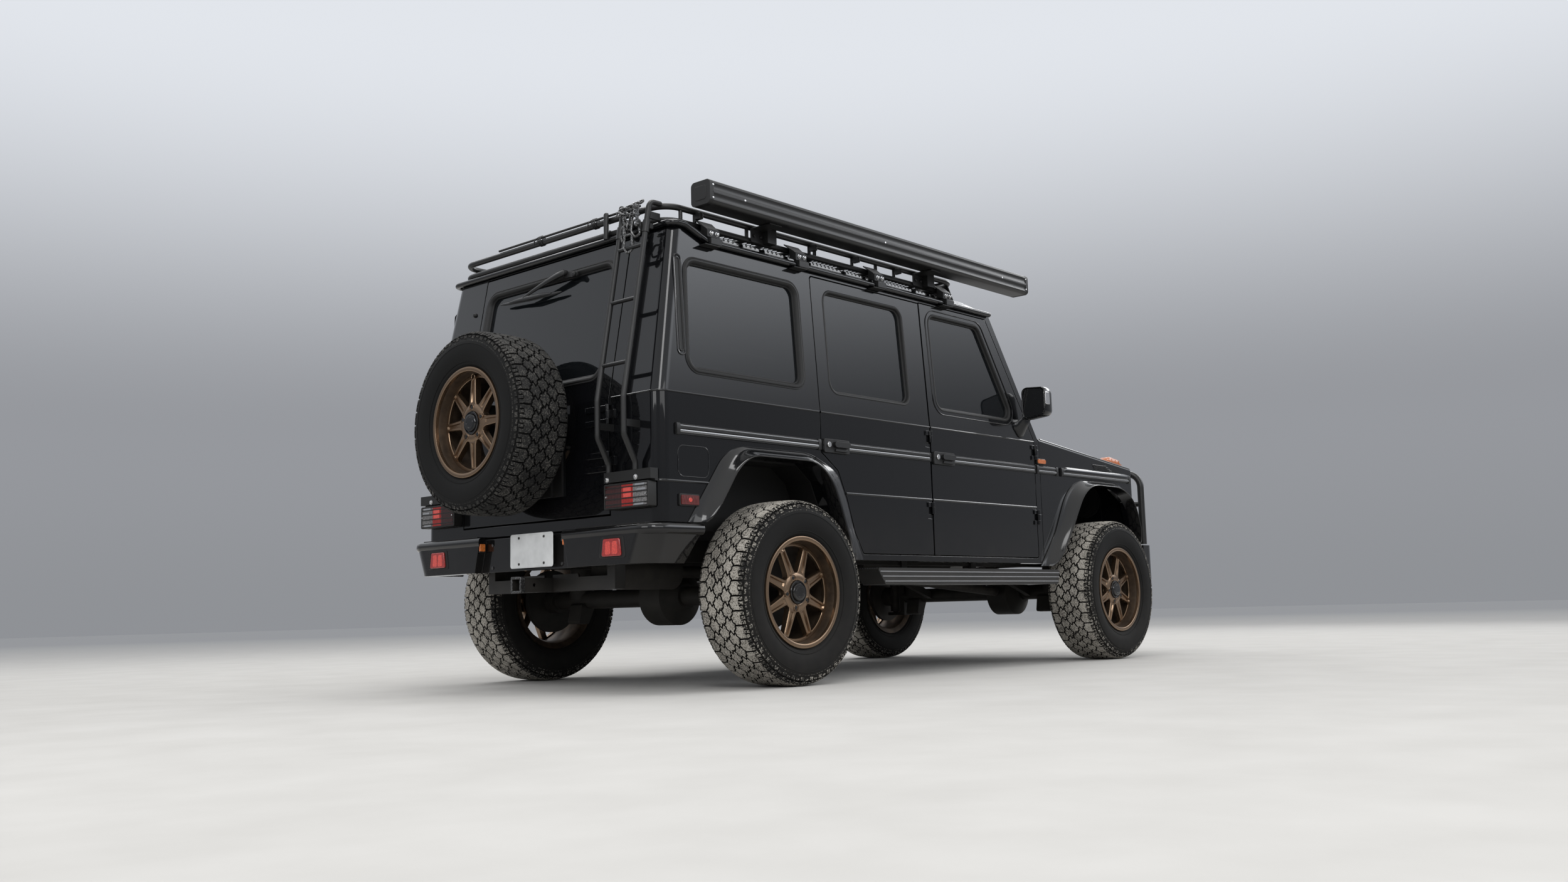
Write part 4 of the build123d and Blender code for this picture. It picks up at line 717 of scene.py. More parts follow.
def repeated(mesh, count, material, offset=(0, 0, 0), turn_by=(0, 0, 0)):
    """Set a bmesh out many times and return the plain mesh of them all."""
    bmesh.ops.recalc_face_normals(mesh, faces=mesh.faces)
    data = bpy.data.meshes.new("repeat_source")
    mesh.to_mesh(data)
    mesh.free()
    carrier = bpy.data.objects.new("repeat_source", data)
    scene.collection.objects.link(carrier)
    nodes = carrier.modifiers.new("repeat", "NODES")
    nodes.node_group = repeat_nodes
    for socket in repeat_nodes.interface.items_tree:
        value = {"Count": count, "Offset": offset, "Turn": turn_by, "Material": material}.get(socket.name)
        if value is not None and socket.in_out == "INPUT":
            nodes[socket.identifier] = value
    graph = bpy.context.evaluated_depsgraph_get()
    result = bpy.data.meshes.new_from_object(carrier.evaluated_get(graph))
    bpy.data.objects.remove(carrier)
    return result


# %% [markdown]
# ## Wheels and tyres
#
# The tyre is an all-terrain one: rows of blocks that lock into each other like a jigsaw, with
# narrow dark grooves between them. It is drawn flat, as block outlines along and across the tread,
# and each point is then laid on the tyre's own curve. One pitch of blocks is made, and the repeat
# tree carries it round.

# %% Where the wheels are
def middle_of(node):
    low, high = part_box(node)
    return (Vector(low) + Vector(high)) / 2


wheels = [
    # name, body, outward
    ("front_left", "wheel_front_left", Vector((0, 1, 0))),
    ("front_right", "wheel_front_right", Vector((0, -1, 0))),
    ("rear_left", "wheel_rear_left", Vector((0, 1, 0))),
    ("rear_right", "wheel_rear_right", Vector((0, -1, 0))),
    ("spare", "rear_door", Vector((-1, 0, 0))),
]


def wheel_place(name, outward, start_turn):
    x_axis = outward
    z_axis = Vector((0, 0, 1))
    y_axis = z_axis.cross(x_axis)
    centre = middle_of(f"tyre_{name}")
    turned = Matrix((
        (x_axis.x, y_axis.x, z_axis.x, centre.x),
        (x_axis.y, y_axis.y, z_axis.y, centre.y),
        (x_axis.z, y_axis.z, z_axis.z, centre.z),
        (0, 0, 0, 1)))
    return turned @ Matrix.Rotation(start_turn, 4, "X")


# %% The tyre's section
tyre_radius = 0.408
tread_depth = 0.0115
# Points from the middle of the crown to the bead: (across, radius, depth of the groove there)
tyre_section = [
    (0.000, 0.4080, tread_depth), (0.060, 0.4072, tread_depth), (0.098, 0.4050, tread_depth),
    (0.116, 0.4010, tread_depth), (0.128, 0.3930, tread_depth), (0.135, 0.3820, 0.010),
    (0.1385, 0.3690, 0.007), (0.1405, 0.3590, 0.0), (0.1435, 0.340, 0.0), (0.1445, 0.320, 0.0),
    (0.1430, 0.300, 0.0), (0.1385, 0.281, 0.0), (0.1320, 0.266, 0.0), (0.1290, 0.2575, 0.0),
    (0.1215, 0.2515, 0.0), (0.1180, 0.246, 0.0),
]
section_reach = [0.0]
for (a0, r0, _), (a1, r1, _) in zip(tyre_section, tyre_section[1:]):
    section_reach.append(section_reach[-1] + math.hypot(a1 - a0, r1 - r0))


def on_section(reach, height):
    """The point of the tyre's section a given way from the crown, and above or below its surface."""
    side = -1.0 if reach < 0 else 1.0
    reach = min(abs(reach), section_reach[-1] - 1e-6)
    for i in range(len(section_reach) - 1):
        if reach <= section_reach[i + 1]:
            break
    t = (reach - section_reach[i]) / (section_reach[i + 1] - section_reach[i])
    (a0, r0), (a1, r1) = tyre_section[i][:2], tyre_section[i + 1][:2]
    length = math.hypot(a1 - a0, r1 - r0)
    out_a, out_r = (r0 - r1) / length, (a1 - a0) / length
    return (side * (a0 + (a1 - a0) * t + out_a * height), r0 + (r1 - r0) * t + out_r * height)


def on_tyre(angle, reach, height):
    across, radius = on_section(reach, height)
    return Vector((across, -radius * math.sin(angle), radius * math.cos(angle)))


# %% Carcass
wheel_steps = 176


def round_axle(mesh, profile, steps, closed=True, aside=0.0):
    """A profile turned about the wheel's axle, or about a line beside it."""
    turn(mesh, profile, (0, 0, aside), (1, 0, 0), steps=steps, closed=closed)


bead = [(0.112, 0.2455), (0.104, 0.262), (0.095, 0.3)]
outer_half = [(a, r - d) for a, r, d in tyre_section]
half_profile = outer_half + bead
carcass_profile = half_profile + [(-a, r) for a, r in reversed(half_profile[1:])]


def carcass(mesh):
    round_axle(mesh, carcass_profile, wheel_steps)
    # A thin moulded line round the sidewall, and the rim guard's ridge
    for centre_a, centre_r, radius in ((0.1425, 0.3475, 0.0016), (0.1335, 0.2685, 0.0022)):
        for side in (1, -1):
            ring = [(side * (centre_a + radius * math.cos(t)), centre_r + radius * math.sin(t))
                    for t in (2 * math.pi * k / 6 for k in range(6))]
            round_axle(mesh, ring, wheel_steps)


# %% Tread blocks of one pitch
pitch_count = 40
pitch = 2 * math.pi / pitch_count
groove = 0.0068
chamfer = 0.0016
arc = pitch * tyre_radius


def shrink(outline, amount):
    """Move each edge of a small (metres) outline inwards."""
    points = [Vector(p) for p in outline]
    result = []
    count = len(points)
    for i, here in enumerate(points):
        on = (points[(i + 1) % count] - here).normalized()
        back = (here - points[i - 1]).normalized()
        inward = Vector((-(on.y + back.y), on.x + back.x)).normalized()
        spread = 1.0 / max(0.45, inward.dot(Vector((-on.y, on.x))))
        result.append(here + inward * amount * spread)
    return result


def tread_block(walls, tops, outline, depth=tread_depth, gap=groove):
    """One block: a dark foot sunk in the carcass, and a worn top with a broken edge."""
    around = list(zip(outline, outline[1:] + outline[:1]))
    if sum(a[0] * b[1] - b[0] * a[1] for a, b in around) < 0:
        outline = list(reversed(outline))
    foot = shrink(outline, gap / 2 - 0.0010)
    top = shrink(outline, gap / 2 + 0.0004)
    crown = shrink(outline, gap / 2 + 0.0004 + chamfer)

    def laid(loop, height):
        return [on_tyre(p.x / tyre_radius, p.y, height) for p in loop]
    skin_rings(walls, [laid(foot, -depth - 0.001), laid(top, -chamfer - 0.0004)])
    skin_rings(tops, [laid(top, -chamfer - 0.0006), laid(top, -chamfer), laid(crown, 0.0)])


# %% [markdown]
# ### Jigsaw rows
#
# Two rules make the rows lock. The line between two rows steps to and fro once in every pitch, and the
# gap between two blocks of a row bends like an S. Neighbours share both lines, so every gap is even.

# %% Rows
row_half = 0.0226
row_wave = 0.0088
block_bend = 0.17
line_places = [-0.5, -0.4, -0.3, -0.2, -0.1, 0.0, 0.1, 0.2, 0.3, 0.4, 0.5]


def row_line(u):
    """How far the line between two rows steps aside at a place along the tread."""
    return row_wave * (-0.80 * math.cos(2 * math.pi * u) + 0.34 * math.sin(6 * math.pi * u))


def inner_row(walls, tops, middle, offset, flip):
    low = [(u, -row_half + row_line(u)) for u in line_places]
    high = [(u, row_half - row_line(u)) for u in line_places]
    bend = [(block_bend * flip * s, v) for s, v in ((0.25, -0.55), (0.85, -0.22), (-0.85, 0.22),
                                                    (-0.25, 0.55))]
    right = [(0.5 + u, v * row_half) for u, v in bend]
    left = [(-0.5 + u, v * row_half) for u, v in reversed(bend)]
    outline = low + right + list(reversed(high)) + left
    tread_block(walls, tops, [((u + offset) * arc, middle + v) for u, v in outline])


def shoulder_row(walls, tops, edges, side, offset):
    """The wide outer block, and three short fingers where it turns over the shoulder."""
    inner = row_half * 3
    edge = [(u, inner + row_line(u)) for u in line_places]
    outline = [(-0.48, 0.114), (-0.52, 0.098)] + edge + [(0.48, 0.098), (0.50, 0.114), (0.25, 0.117),
                                                         (-0.05, 0.112), (-0.30, 0.117)]
    tread_block(walls, tops, [((u + offset) * arc, side * v) for u, v in outline])
    for low, high, reach in ((-0.46, -0.19, 0.132), (-0.13, 0.13, 0.136), (0.19, 0.46, 0.131)):
        finger = [(low, 0.1105), (low - 0.01, reach), (high + 0.01, reach + 0.001), (high, 0.1105)]
        tread_block(walls, edges, [((u + offset) * arc, side * v) for u, v in finger],
                    depth=0.010, gap=0.0016)
    # Stubs on the sidewall below them
    for low, high, start, reach in ((-0.46, -0.05, 0.139, 0.160), (0.05, 0.42, 0.139, 0.153),
                                   (-0.48, -0.20, 0.163, 0.176), (-0.15, 0.14, 0.163, 0.172),
                                   (0.19, 0.46, 0.163, 0.176)):
        stub = [(low, start), (low, reach), (high, reach - 0.003), (high, start)]
        tread_block(walls, edges, [((u + offset) * arc, side * v) for u, v in stub], depth=0.006, gap=0.0016)


def one_pitch():
    walls, tops, edges = shape(), shape(), shape()
    for row, (middle, offset) in enumerate(((-2, 0.5), (0, 0.0), (2, 0.5))):
        inner_row(walls, tops, middle * row_half, offset, 1 if row % 2 else -1)
    shoulder_row(walls, tops, edges, -1, 0.0)
    shoulder_row(walls, tops, edges, 1, 0.0)
    return walls, tops, edges


# %% Set the blocks round the tyre
walls, tops, edges = one_pitch()
block_walls = repeated(walls, pitch_count, sidewall, turn_by=(pitch, 0, 0))
block_tops = repeated(tops, pitch_count, tread, turn_by=(pitch, 0, 0))
block_edges = repeated(edges, pitch_count, tread_edge, turn_by=(pitch, 0, 0))
print("tread:", len(block_walls.polygons) + len(block_tops.polygons) + len(block_edges.polygons), "faces")

# %% [markdown]
# ### The alloy wheel
#
# Eight grooved spokes run from a domed hub to a barrel deep inside the lip. The lip and barrel are
# turned, and the barrel takes a darker bronze as painted shade, for the wheel is one colour. A spoke
# is a row of cross sections, and the repeat tree sets out eight.

# %% Alloy wheel
spoke_count = 8
lug_count = 5
lug_circle = 0.0685
valve_radius = 0.2075
lip = [
    (0.1160, 0.2465), (0.1240, 0.2465), (0.1278, 0.2448), (0.1290, 0.2410), (0.1287, 0.2290),
    (0.1270, 0.2262), (0.1200, 0.2252), (0.1120, 0.2246), (0.1120, 0.2330), (0.1160, 0.2400)]
inner_ring = [
    (0.0700, 0.2195), (0.0735, 0.2190), (0.0745, 0.2170), (0.0740, 0.2040), (0.0715, 0.2020),
    (0.0560, 0.2030), (0.0560, 0.2160)]
barrel = [
    (0.1130, 0.2300), (0.1120, 0.2246), (0.0980, 0.2205), (0.0700, 0.2195), (0.0560, 0.2160),
    (0.0500, 0.2105), (0.0300, 0.2070),
    (-0.0900, 0.2060), (-0.1120, 0.2160), (-0.1200, 0.2300), (-0.1260, 0.2440), (-0.1180, 0.2465),
    (-0.1160, 0.2300), (-0.0900, 0.2150), (0.0300, 0.2150), (0.0900, 0.2300), (0.1080, 0.2400)]
hub = [(0.046, 0.0), (0.046, 0.080), (0.060, 0.088), (0.078, 0.0885), (0.0868, 0.0855), (0.0905, 0.0765),
       (0.0925, 0.0560), (0.0915, 0.0535), (0.0870, 0.0525), (0.0870, 0.0)]
cap_profile = [(0.080, 0.0), (0.080, 0.0520), (0.0965, 0.0520), (0.0985, 0.0500), (0.0985, 0.0460),
               (0.0945, 0.0445), (0.0945, 0.0415), (0.1010, 0.0400), (0.1045, 0.0370), (0.1058, 0.0300),
               (0.1058, 0.0255), (0.1066, 0.0245), (0.1066, 0.0225), (0.1058, 0.0215), (0.1060, 0.0)]
spoke_stations = [
    # radius, half width, top, bottom, groove depth
    (0.064, 0.0320, 0.0860, 0.052, 0.0), (0.080, 0.0270, 0.0880, 0.054, 0.0),
    (0.090, 0.0232, 0.0880, 0.056, 0.0),
    (0.096, 0.0220, 0.0880, 0.056, 0.006), (0.140, 0.0192, 0.0865, 0.056, 0.0085),
    (0.190, 0.0166, 0.0845, 0.056, 0.0085), (0.196, 0.0163, 0.0840, 0.054, 0.0),
    (0.2030, 0.0158, 0.0820, 0.052, 0.0),
    (0.2070, 0.0152, 0.0760, 0.050, 0.0), (0.2175, 0.0150, 0.0640, 0.048, 0.0)]


def spoke():
    mesh = shape()
    rings = []
    for radius, half, top, bottom, depth in spoke_stations:
        brink, groove_half, break_by = half * 0.46, half * 0.30, 0.0028
        right_half = [(groove_half, top - depth), (brink, top), (half - break_by, top),
                      (half, top - break_by), (half, bottom)]
        section = [(-w, a) for w, a in reversed(right_half)] + right_half
        rings.append([Vector((a, w, radius)) for w, a in section])
    skin_rings(mesh, rings)
    return mesh


spokes = repeated(spoke(), spoke_count, bronze, turn_by=(2 * math.pi / spoke_count, 0, 0))


def lug_hole():
    """The broken edge round a nut's socket in the hub."""
    mesh = shape()
    round_axle(mesh, [(0.0935, 0.0138), (0.0925, 0.0155), (0.086, 0.0155), (0.086, 0.0138)], 24,
               aside=lug_circle)
    return mesh


def socket_shade_and_nut():
    """A black disc as painted shade in the nut's socket, with a six-sided nut in it."""
    mesh = shape()
    round_axle(mesh, [(0.086, 0.0), (0.086, 0.0137), (0.0905, 0.0137), (0.0905, 0.0)], 24, False, lug_circle)
    nut = [(0.0895, 0.0), (0.0895, 0.0085), (0.0930, 0.0085), (0.0945, 0.0065), (0.0945, 0.0)]
    round_axle(mesh, nut, 6, False, lug_circle)
    return mesh


lug_rings = repeated(lug_hole(), lug_count, bronze, turn_by=(2 * math.pi / lug_count, 0, 0))
# The black discs in the sockets are painted shade; the nuts stand on them
socket_shade_and_nuts = repeated(socket_shade_and_nut(), lug_count, satin, turn_by=(2 * math.pi / lug_count, 0, 0))
random.seed(4)
for name, body, outward in wheels:
    start_turn = random.uniform(0, pitch) + (0.0 if name == "spare" else 0.4)
    place = wheel_place(name, outward, start_turn)
    mesh = shape()
    carcass(mesh)
    mesh.from_mesh(block_walls)
    bmesh.ops.transform(mesh, matrix=place, verts=mesh.verts)
    tyre = piece(f"carcass_{name}", mesh, sidewall, body, "tyre_rubber", angle=28.0, merge=0.0)
    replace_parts(tyre, f"tyre_{name}")
    for label, blocks, dusty in (("tread", block_tops, tread), ("shoulder", block_edges, tread_edge)):
        material = tread_clean if name == "spare" else dusty
        mesh = shape()
        mesh.from_mesh(blocks)
        bmesh.ops.transform(mesh, matrix=place, verts=mesh.verts)
        piece(f"{label}_{name}", mesh, material, body, "tyre_rubber", angle=28.0, merge=0.0)
    mesh = shape()
    round_axle(mesh, lip, 96)
    round_axle(mesh, inner_ring, 96)
    round_axle(mesh, hub, 64, closed=False)
    mesh.from_mesh(spokes)
    mesh.from_mesh(lug_rings)
    # Ring round the valve at one spoke's tip
    valve_ring = [(0.062, 0.0100), (0.0850, 0.0100), (0.0862, 0.0125), (0.0850, 0.0148), (0.062, 0.0148)]
    round_axle(mesh, valve_ring, 24, aside=valve_radius)
    bmesh.ops.transform(mesh, matrix=place, verts=mesh.verts)
    alloy = piece(f"alloy_{name}", mesh, bronze, body, "bronze_wheel")
    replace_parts(alloy, f"rim_{name}")
    # The barrel takes the darker bronze, which is painted shade
    mesh = shape()
    round_axle(mesh, barrel, 96)
    bmesh.ops.transform(mesh, matrix=place, verts=mesh.verts)
    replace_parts(piece(f"barrel_{name}", mesh, bronze_painted_shade, body, "bronze_wheel"), f"rim_{name}")
    mesh = shape()
    round_axle(mesh, cap_profile, 48, closed=False)
    valve = [(0.068, 0.0), (0.068, 0.0101), (0.0765, 0.0101), (0.0765, 0.0)]
    round_axle(mesh, valve, 20, False, valve_radius)
    # The nuts and the black discs of painted shade in their sockets
    mesh.from_mesh(socket_shade_and_nuts)
    bmesh.ops.transform(mesh, matrix=place, verts=mesh.verts)
    piece(f"wheel_cap_{name}", mesh, paint_trim, body, "satin_black_metal")
print("wheels dressed:", len(wheels))

# %% [markdown]
# ## The two sides
#
# The body's own lines are thin: a bead where the wall starts to lean inwards, a fold lower down, and a
# rub strip between them. Each line is cut where a door begins, and each length rides on its own door.

# %% Places on the walls
axle_x = -1.2635         # the rear axle, from which stations count forward
wheelbase = 2.850
belt_z = 1.253
fold_z = 0.876
body_half = 0.843
wall_slope = 0.048 / 0.692
tail_slope = 0.188
tail_x = axle_x - 0.714
corner_radius = 0.054
door_gap = 0.006


def side_wall(side):
    def at(station, z, h=0.0):
        lean = wall_slope * max(0.0, z - belt_z)
        return Vector((axle_x + station, side * (body_half - lean + h), z))
    return at


def tail_wall(y, z, h=0.0):
    return Vector((tail_x + tail_slope * max(0.0, z - belt_z) - h, y, z))


sides = ((1, "left"), (-1, "right"))


# Lengths of the side, as (body it rides on, first station, last station)
def side_lengths(name):
    return [("body", -0.655, 0.311 - door_gap), (f"door_rear_{name}", 0.311 + door_gap, 1.186 - door_gap),
            (f"door_front_{name}", 1.186 + door_gap, 2.194 - door_gap), ("body", 2.194 + door_gap, 3.300)]


def side_line(mesh, side, z, section, start, end):
    """A straight strip on the side wall with square ends."""
    at = side_wall(side)
    skin_rings(mesh, [[at(station, z + up_by, height) for up_by, height in section]
                      for station in (start, end)])


# %% Belt bead and lower fold
bead = half_round(0.009, 0.0045)
fold = half_round(0.012, 0.004)


def corner_line(mesh, side, z, section, start, end_y):
    """A strip from the side, round the rear corner and along the tail."""
    rings = []
    lean_in = wall_slope * max(0.0, z - belt_z)
    half = body_half - lean_in
    back = tail_x + tail_slope * max(0.0, z - belt_z)
    path = [((axle_x + start, half), (0.0, 1.0)), ((back + corner_radius, half), (0.0, 1.0))]
    for step in range(1, 8):
        a = math.radians(90.0 * step / 8)
        out = (-math.sin(a), math.cos(a))
        path.append(((back + corner_radius * (1 - math.sin(a)),
                      half - corner_radius * (1 - math.cos(a))), out))
    path += [((back, half - corner_radius), (-1.0, 0.0)), ((back, end_y), (-1.0, 0.0))]
    for (x, y), out in path:
        rings.append([Vector((x + out[0] * h, side * (y + out[1] * h), z + v)) for v, h in section])
    skin_rings(mesh, rings)


for side, name in sides:
    for number, (body, start, end) in enumerate(side_lengths(name)[:3]):
        mesh = shape()
        if number == 0:
            corner_line(mesh, side, belt_z, bead, end, 0.545)
            corner_line(mesh, side, fold_z, fold, -0.404, 0.83)
        else:
            side_line(mesh, side, belt_z, bead, start, end)
            side_line(mesh, side, fold_z, fold, max(start, 0.49), end)
        piece(f"body_line_{name}_{number}", mesh, paint, body, "body_paint", merge=0.0)

# %% Rub strips
strip_z = 1.096
strip_base = [(-0.024, -0.001), (-0.022, 0.0075), (-0.004, 0.0085), (-0.002, 0.006), (0.000, 0.006),
              (0.002, 0.0085), (0.018, 0.0085), (0.022, 0.005), (0.024, -0.001)]
strip_line = [(0.0105, 0.0080), (0.0110, 0.0100), (0.0135, 0.0105), (0.0160, 0.0100), (0.0165, 0.0080)]
strip_wide = [(-0.0150, 0.0075), (-0.0145, 0.0105), (-0.0090, 0.0120), (-0.0035, 0.0105), (-0.0030, 0.0075)]
cap_section = [(-0.026, -0.001), (-0.0245, 0.0085), (-0.018, 0.0115), (0.018, 0.0115), (0.0245, 0.0085),
               (0.026, -0.001)]
for side, name in sides:
    for number, (body, start, end) in enumerate(side_lengths(name)):
        start = max(start, -0.623)
        lengths = [(start, end)] if number < 3 else [(start, 2.430), (2.470, end)]
        mesh = shape()
        lines = shape()
        for low, high in lengths:
            side_line(mesh, side, strip_z, strip_base, low + 0.002, high - 0.002)
            for cap_low, cap_high in ((low, low + 0.020), (high - 0.020, high)):
                if number in (0, 3):
                    side_line(mesh, side, strip_z, cap_section, cap_low, cap_high)
            side_line(lines, side, strip_z, strip_line, low + 0.018, high - 0.018)
            side_line(lines, side, strip_z, strip_wide, low + 0.018, high - 0.018)
        piece(f"rub_strip_{name}_{number}", mesh, moulded, body, "black_trim", merge=0.0)
        piece(f"rub_strip_line_{name}_{number}", lines, dark_metal, body, "satin_black_metal", merge=0.0)

# %% [markdown]
# ### Windows
#
# The rear quarter window sits in a fat rubber gasket with a rounded face. The door windows have thinner
# ones. A gasket is one section swept round the window's outline on the leaning wall.

# %% Gaskets
window_corner = 0.055
quarter_loop = rounded_loop([(-0.528, 1.364), (0.205, 1.364), (0.205, 1.846), (-0.508, 1.846)],
                            window_corner, 8)
rear_loop = rounded_loop([(0.406, 1.358), (1.030, 1.358), (1.022, 1.856), (0.406, 1.856)], window_corner, 8)
front_loop = rounded_loop([(1.270, 1.360), (2.005, 1.360), (1.728, 1.864), (1.262, 1.864)], window_corner, 8)
tail_loop = rounded_loop([(-0.438, 1.367), (0.486, 1.367), (0.482, 1.890), (-0.434, 1.890)],
                         window_corner, 8)
# Sections as (inwards from the opening's edge, out of the wall)
fat_gasket = [(0.014, -0.0195), (0.014, -0.0150), (0.0115, -0.0110), (0.009, -0.0105), (0.006, -0.0030),
              (0.001, 0.0040), (-0.005, 0.0072), (-0.011, 0.0066), (-0.0145, 0.0025), (-0.016, 0.0022),
              (-0.0185, 0.0038), (-0.0215, 0.0034), (-0.023, -0.0010), (-0.001, -0.0010), (-0.001, -0.0195)]
thin_gasket = [(0.012, -0.0195), (0.011, -0.0150), (0.006, -0.0120), (0.003, -0.0010), (-0.002, 0.0030),
               (-0.0075, 0.0034), (-0.0105, 0.0012), (-0.012, -0.0010), (-0.001, -0.0010), (-0.001, -0.0195)]
frame_line = [(-0.0270, -0.001), (-0.0280, 0.0032), (-0.0300, 0.0044), (-0.0320, 0.0032), (-0.0330, -0.001)]
for side, name in sides:
    at = side_wall(side)
    for label, loop, section, body in (("quarter", quarter_loop, fat_gasket, "body"),
                                       ("rear", rear_loop, thin_gasket, f"door_rear_{name}"),
                                       ("front", front_loop, thin_gasket, f"door_front_{name}")):
        mesh = shape()
        strip(mesh, loop, section, at)
        piece(f"gasket_{label}_{name}", mesh, rubber, body, "black_trim", merge=0.0)
    # The front door's frame has a second line outside its gasket
    mesh = shape()
    strip(mesh, front_loop, frame_line, at)
    piece(f"door_frame_line_{name}", mesh, paint, f"door_front_{name}", "body_paint", merge=0.0)
mesh = shape()
strip(mesh, tail_loop, fat_gasket, tail_wall)
piece("gasket_tail", mesh, rubber, "rear_door", "black_trim", merge=0.0)

# %% [markdown]
# ### Vents, fuel flap, side lamps and handles
#
# Behind the quarter window stands a tall narrow air outlet. The flap over the filler shows only as a
# fine rounded line. Both are drawn as outlines on the wall and swept or filled.

# %% Vents and fuel flap
line_section = [(-0.0022, -0.001), (-0.0016, 0.0014), (0.0, 0.0020), (0.0016, 0.0014), (0.0022, -0.001)]
vent_ring = [(-0.005, -0.001), (-0.004, 0.0030), (-0.001, 0.0042), (0.003, 0.0030), (0.0045, -0.001)]
vent_outer = rounded_loop([(-0.588, 1.420), (-0.545, 1.420), (-0.541, 1.862), (-0.581, 1.862)], 0.0195, 6)
vent_inner = rounded_loop([(-0.579, 1.436), (-0.554, 1.436), (-0.550, 1.846), (-0.573, 1.846)], 0.0112, 6)
flap_loop = rounded_box(-0.610, -0.430, 0.897, 1.028, 0.030, 6)
for side, name in sides:
    at = side_wall(side)
    mesh = shape()
    strip(mesh, vent_outer, vent_ring, at)
    piece(f"vent_rim_{name}", mesh, paint, "body", "body_paint", merge=0.0)
    mesh = shape()
    strip(mesh, vent_inner, vent_ring, at)
    panel(mesh, vent_inner, at, -0.001, 0.0008)
    piece(f"vent_slot_{name}", mesh, rubber, "body", "black_trim", merge=0.0)
mesh = shape()
strip(mesh, flap_loop, line_section, side_wall(-1))
piece("fuel_flap_line", mesh, paint, "body", "body_paint", merge=0.0)

# %% Side lamps
marker_loop = rounded_box(-0.611, -0.496, 0.772, 0.824, 0.006, 4)
marker_lens = rounded_box(-0.604, -0.503, 0.778, 0.818, 0.004, 4)
repeater_loop = rounded_box(2.205, 2.300, 1.126, 1.160, 0.012, 4)
repeater_lens = rounded_box(2.211, 2.294, 1.131, 1.155, 0.009, 4)
side_lamps = [("marker", marker_loop, marker_lens, lens_marker, "red_lens"),
              ("repeater", repeater_loop, repeater_lens, lens_amber, "clear_lens")]
for side, name in sides:
    at = side_wall(side)
    for label, frame_loop, lens_loop, lens, slot in side_lamps:
        mesh = shape()
        panel(mesh, frame_loop, at, -0.001, 0.009)
        piece(f"{label}_frame_{name}", mesh, moulded, "body", "black_trim", bevel=0.002)
        mesh = shape()
        panel(mesh, lens_loop, at, 0.004, 0.0135)
        low = min(u for u, v in lens_loop)
        high = max(u for u, v in lens_loop)
        rib_foot = lens_loop[0].y + 0.004
        rib_head = max(v for u, v in lens_loop) - 0.005
        for k in range(5):
            rib = low + (high - low) * (k + 1) / 6
            panel(mesh, rounded_box(rib - 0.0016, rib + 0.0016, rib_foot, rib_head, 0.001, 2), at,
                  0.012, 0.0148)
        piece(f"{label}_lens_{name}", mesh, lens, "body", slot, bevel=0.0006, merge=0.0)
        if label == "marker":
            mesh = shape()
            turn(mesh, [(0.012, 0.0), (0.012, 0.0105), (0.0158, 0.0085), (0.0166, 0.0)],
                 at((low + high) / 2, 0.798), (0, side, 0), steps=20)
            piece(f"marker_bulb_{name}", mesh, lens_lit, "body", "red_lens")

# %% Door handles
for side, name in sides:
    at = side_wall(side)
    for body, back in ((f"door_rear_{name}", 0.3245), (f"door_front_{name}", 1.1985)):
        mesh = shape()
        panel(mesh, rounded_box(back, back + 0.186, 1.062, 1.128, 0.008, 4), at, -0.001, 0.0125)
        piece(f"handle_plate_{body}", mesh, moulded, body, "black_trim", bevel=0.0025)
        mesh = shape()
        panel(mesh, rounded_box(back + 0.062, back + 0.176, 1.088, 1.116, 0.012, 4), at, 0.010, 0.029)
        panel(mesh, rounded_loop([(back + 0.070, 1.070), (back + 0.168, 1.070), (back + 0.160, 1.082),
                                  (back + 0.078, 1.082)], 0.004, 3), at, 0.010, 0.020)
        piece(f"handle_grip_{body}", mesh, satin, body, "black_trim", bevel=0.004, segments=3)
        mesh = shape()
        turn(mesh, [(0.010, 0.0), (0.010, 0.0135), (0.0175, 0.0135), (0.0195, 0.0115), (0.0195, 0.0)],
             at(back + 0.032, 1.100), (0, side, 0), steps=24)
        piece(f"handle_lock_{body}", mesh, bright, body, "satin_black_metal")

# %% [markdown]
# ### Fender flares
#
# Each flare leaves the body along a sharp line, sweeps out in a hollow curve to a rounded lip and turns
# back into the arch. Its inner and outer outlines are drawn on the wall, both are cut into the same
# number of steps, and a section is laid from one to the other.


# %% Flares
def along_outline(points, count):
    """Points at even steps along an open outline."""
    reach = [0.0]
    for a, b in zip(points, points[1:]):
        reach.append(reach[-1] + (b - a).length)
    result = []
    for k in range(count):
        wanted = reach[-1] * k / (count - 1)
        i = 0
        while i < len(reach) - 2 and reach[i + 1] < wanted:
            i += 1
        t = (wanted - reach[i]) / max(1e-9, reach[i + 1] - reach[i])
        result.append(points[i].lerp(points[i + 1], t))
    return result


rear_flare_outer = [(-0.560, 0.706), (-0.345, 1.000), (-0.245, 1.050), (0.225, 1.052), (0.335, 1.010),
                    (0.425, 0.968), (0.486, 0.837), (0.538, 0.689), (0.600, 0.562)]
rear_flare_inner = [(-0.478, 0.706), (-0.310, 0.948), (-0.225, 1.000), (0.195, 1.000), (0.298, 0.925),
                    (0.357, 0.797), (0.448, 0.562)]
front_flare_outer = [(-0.645, 0.545), (-0.470, 0.739), (-0.330, 0.985), (-0.170, 1.062), (0.005, 1.068),
                     (0.300, 1.066), (0.440, 0.985), (0.535, 0.740), (0.560, 0.690)]
front_flare_inner = [(-0.560, 0.545), (-0.408, 0.735), (-0.242, 0.963), (-0.123, 1.028), (0.222, 1.026),
                     (0.374, 0.951), (0.468, 0.690)]
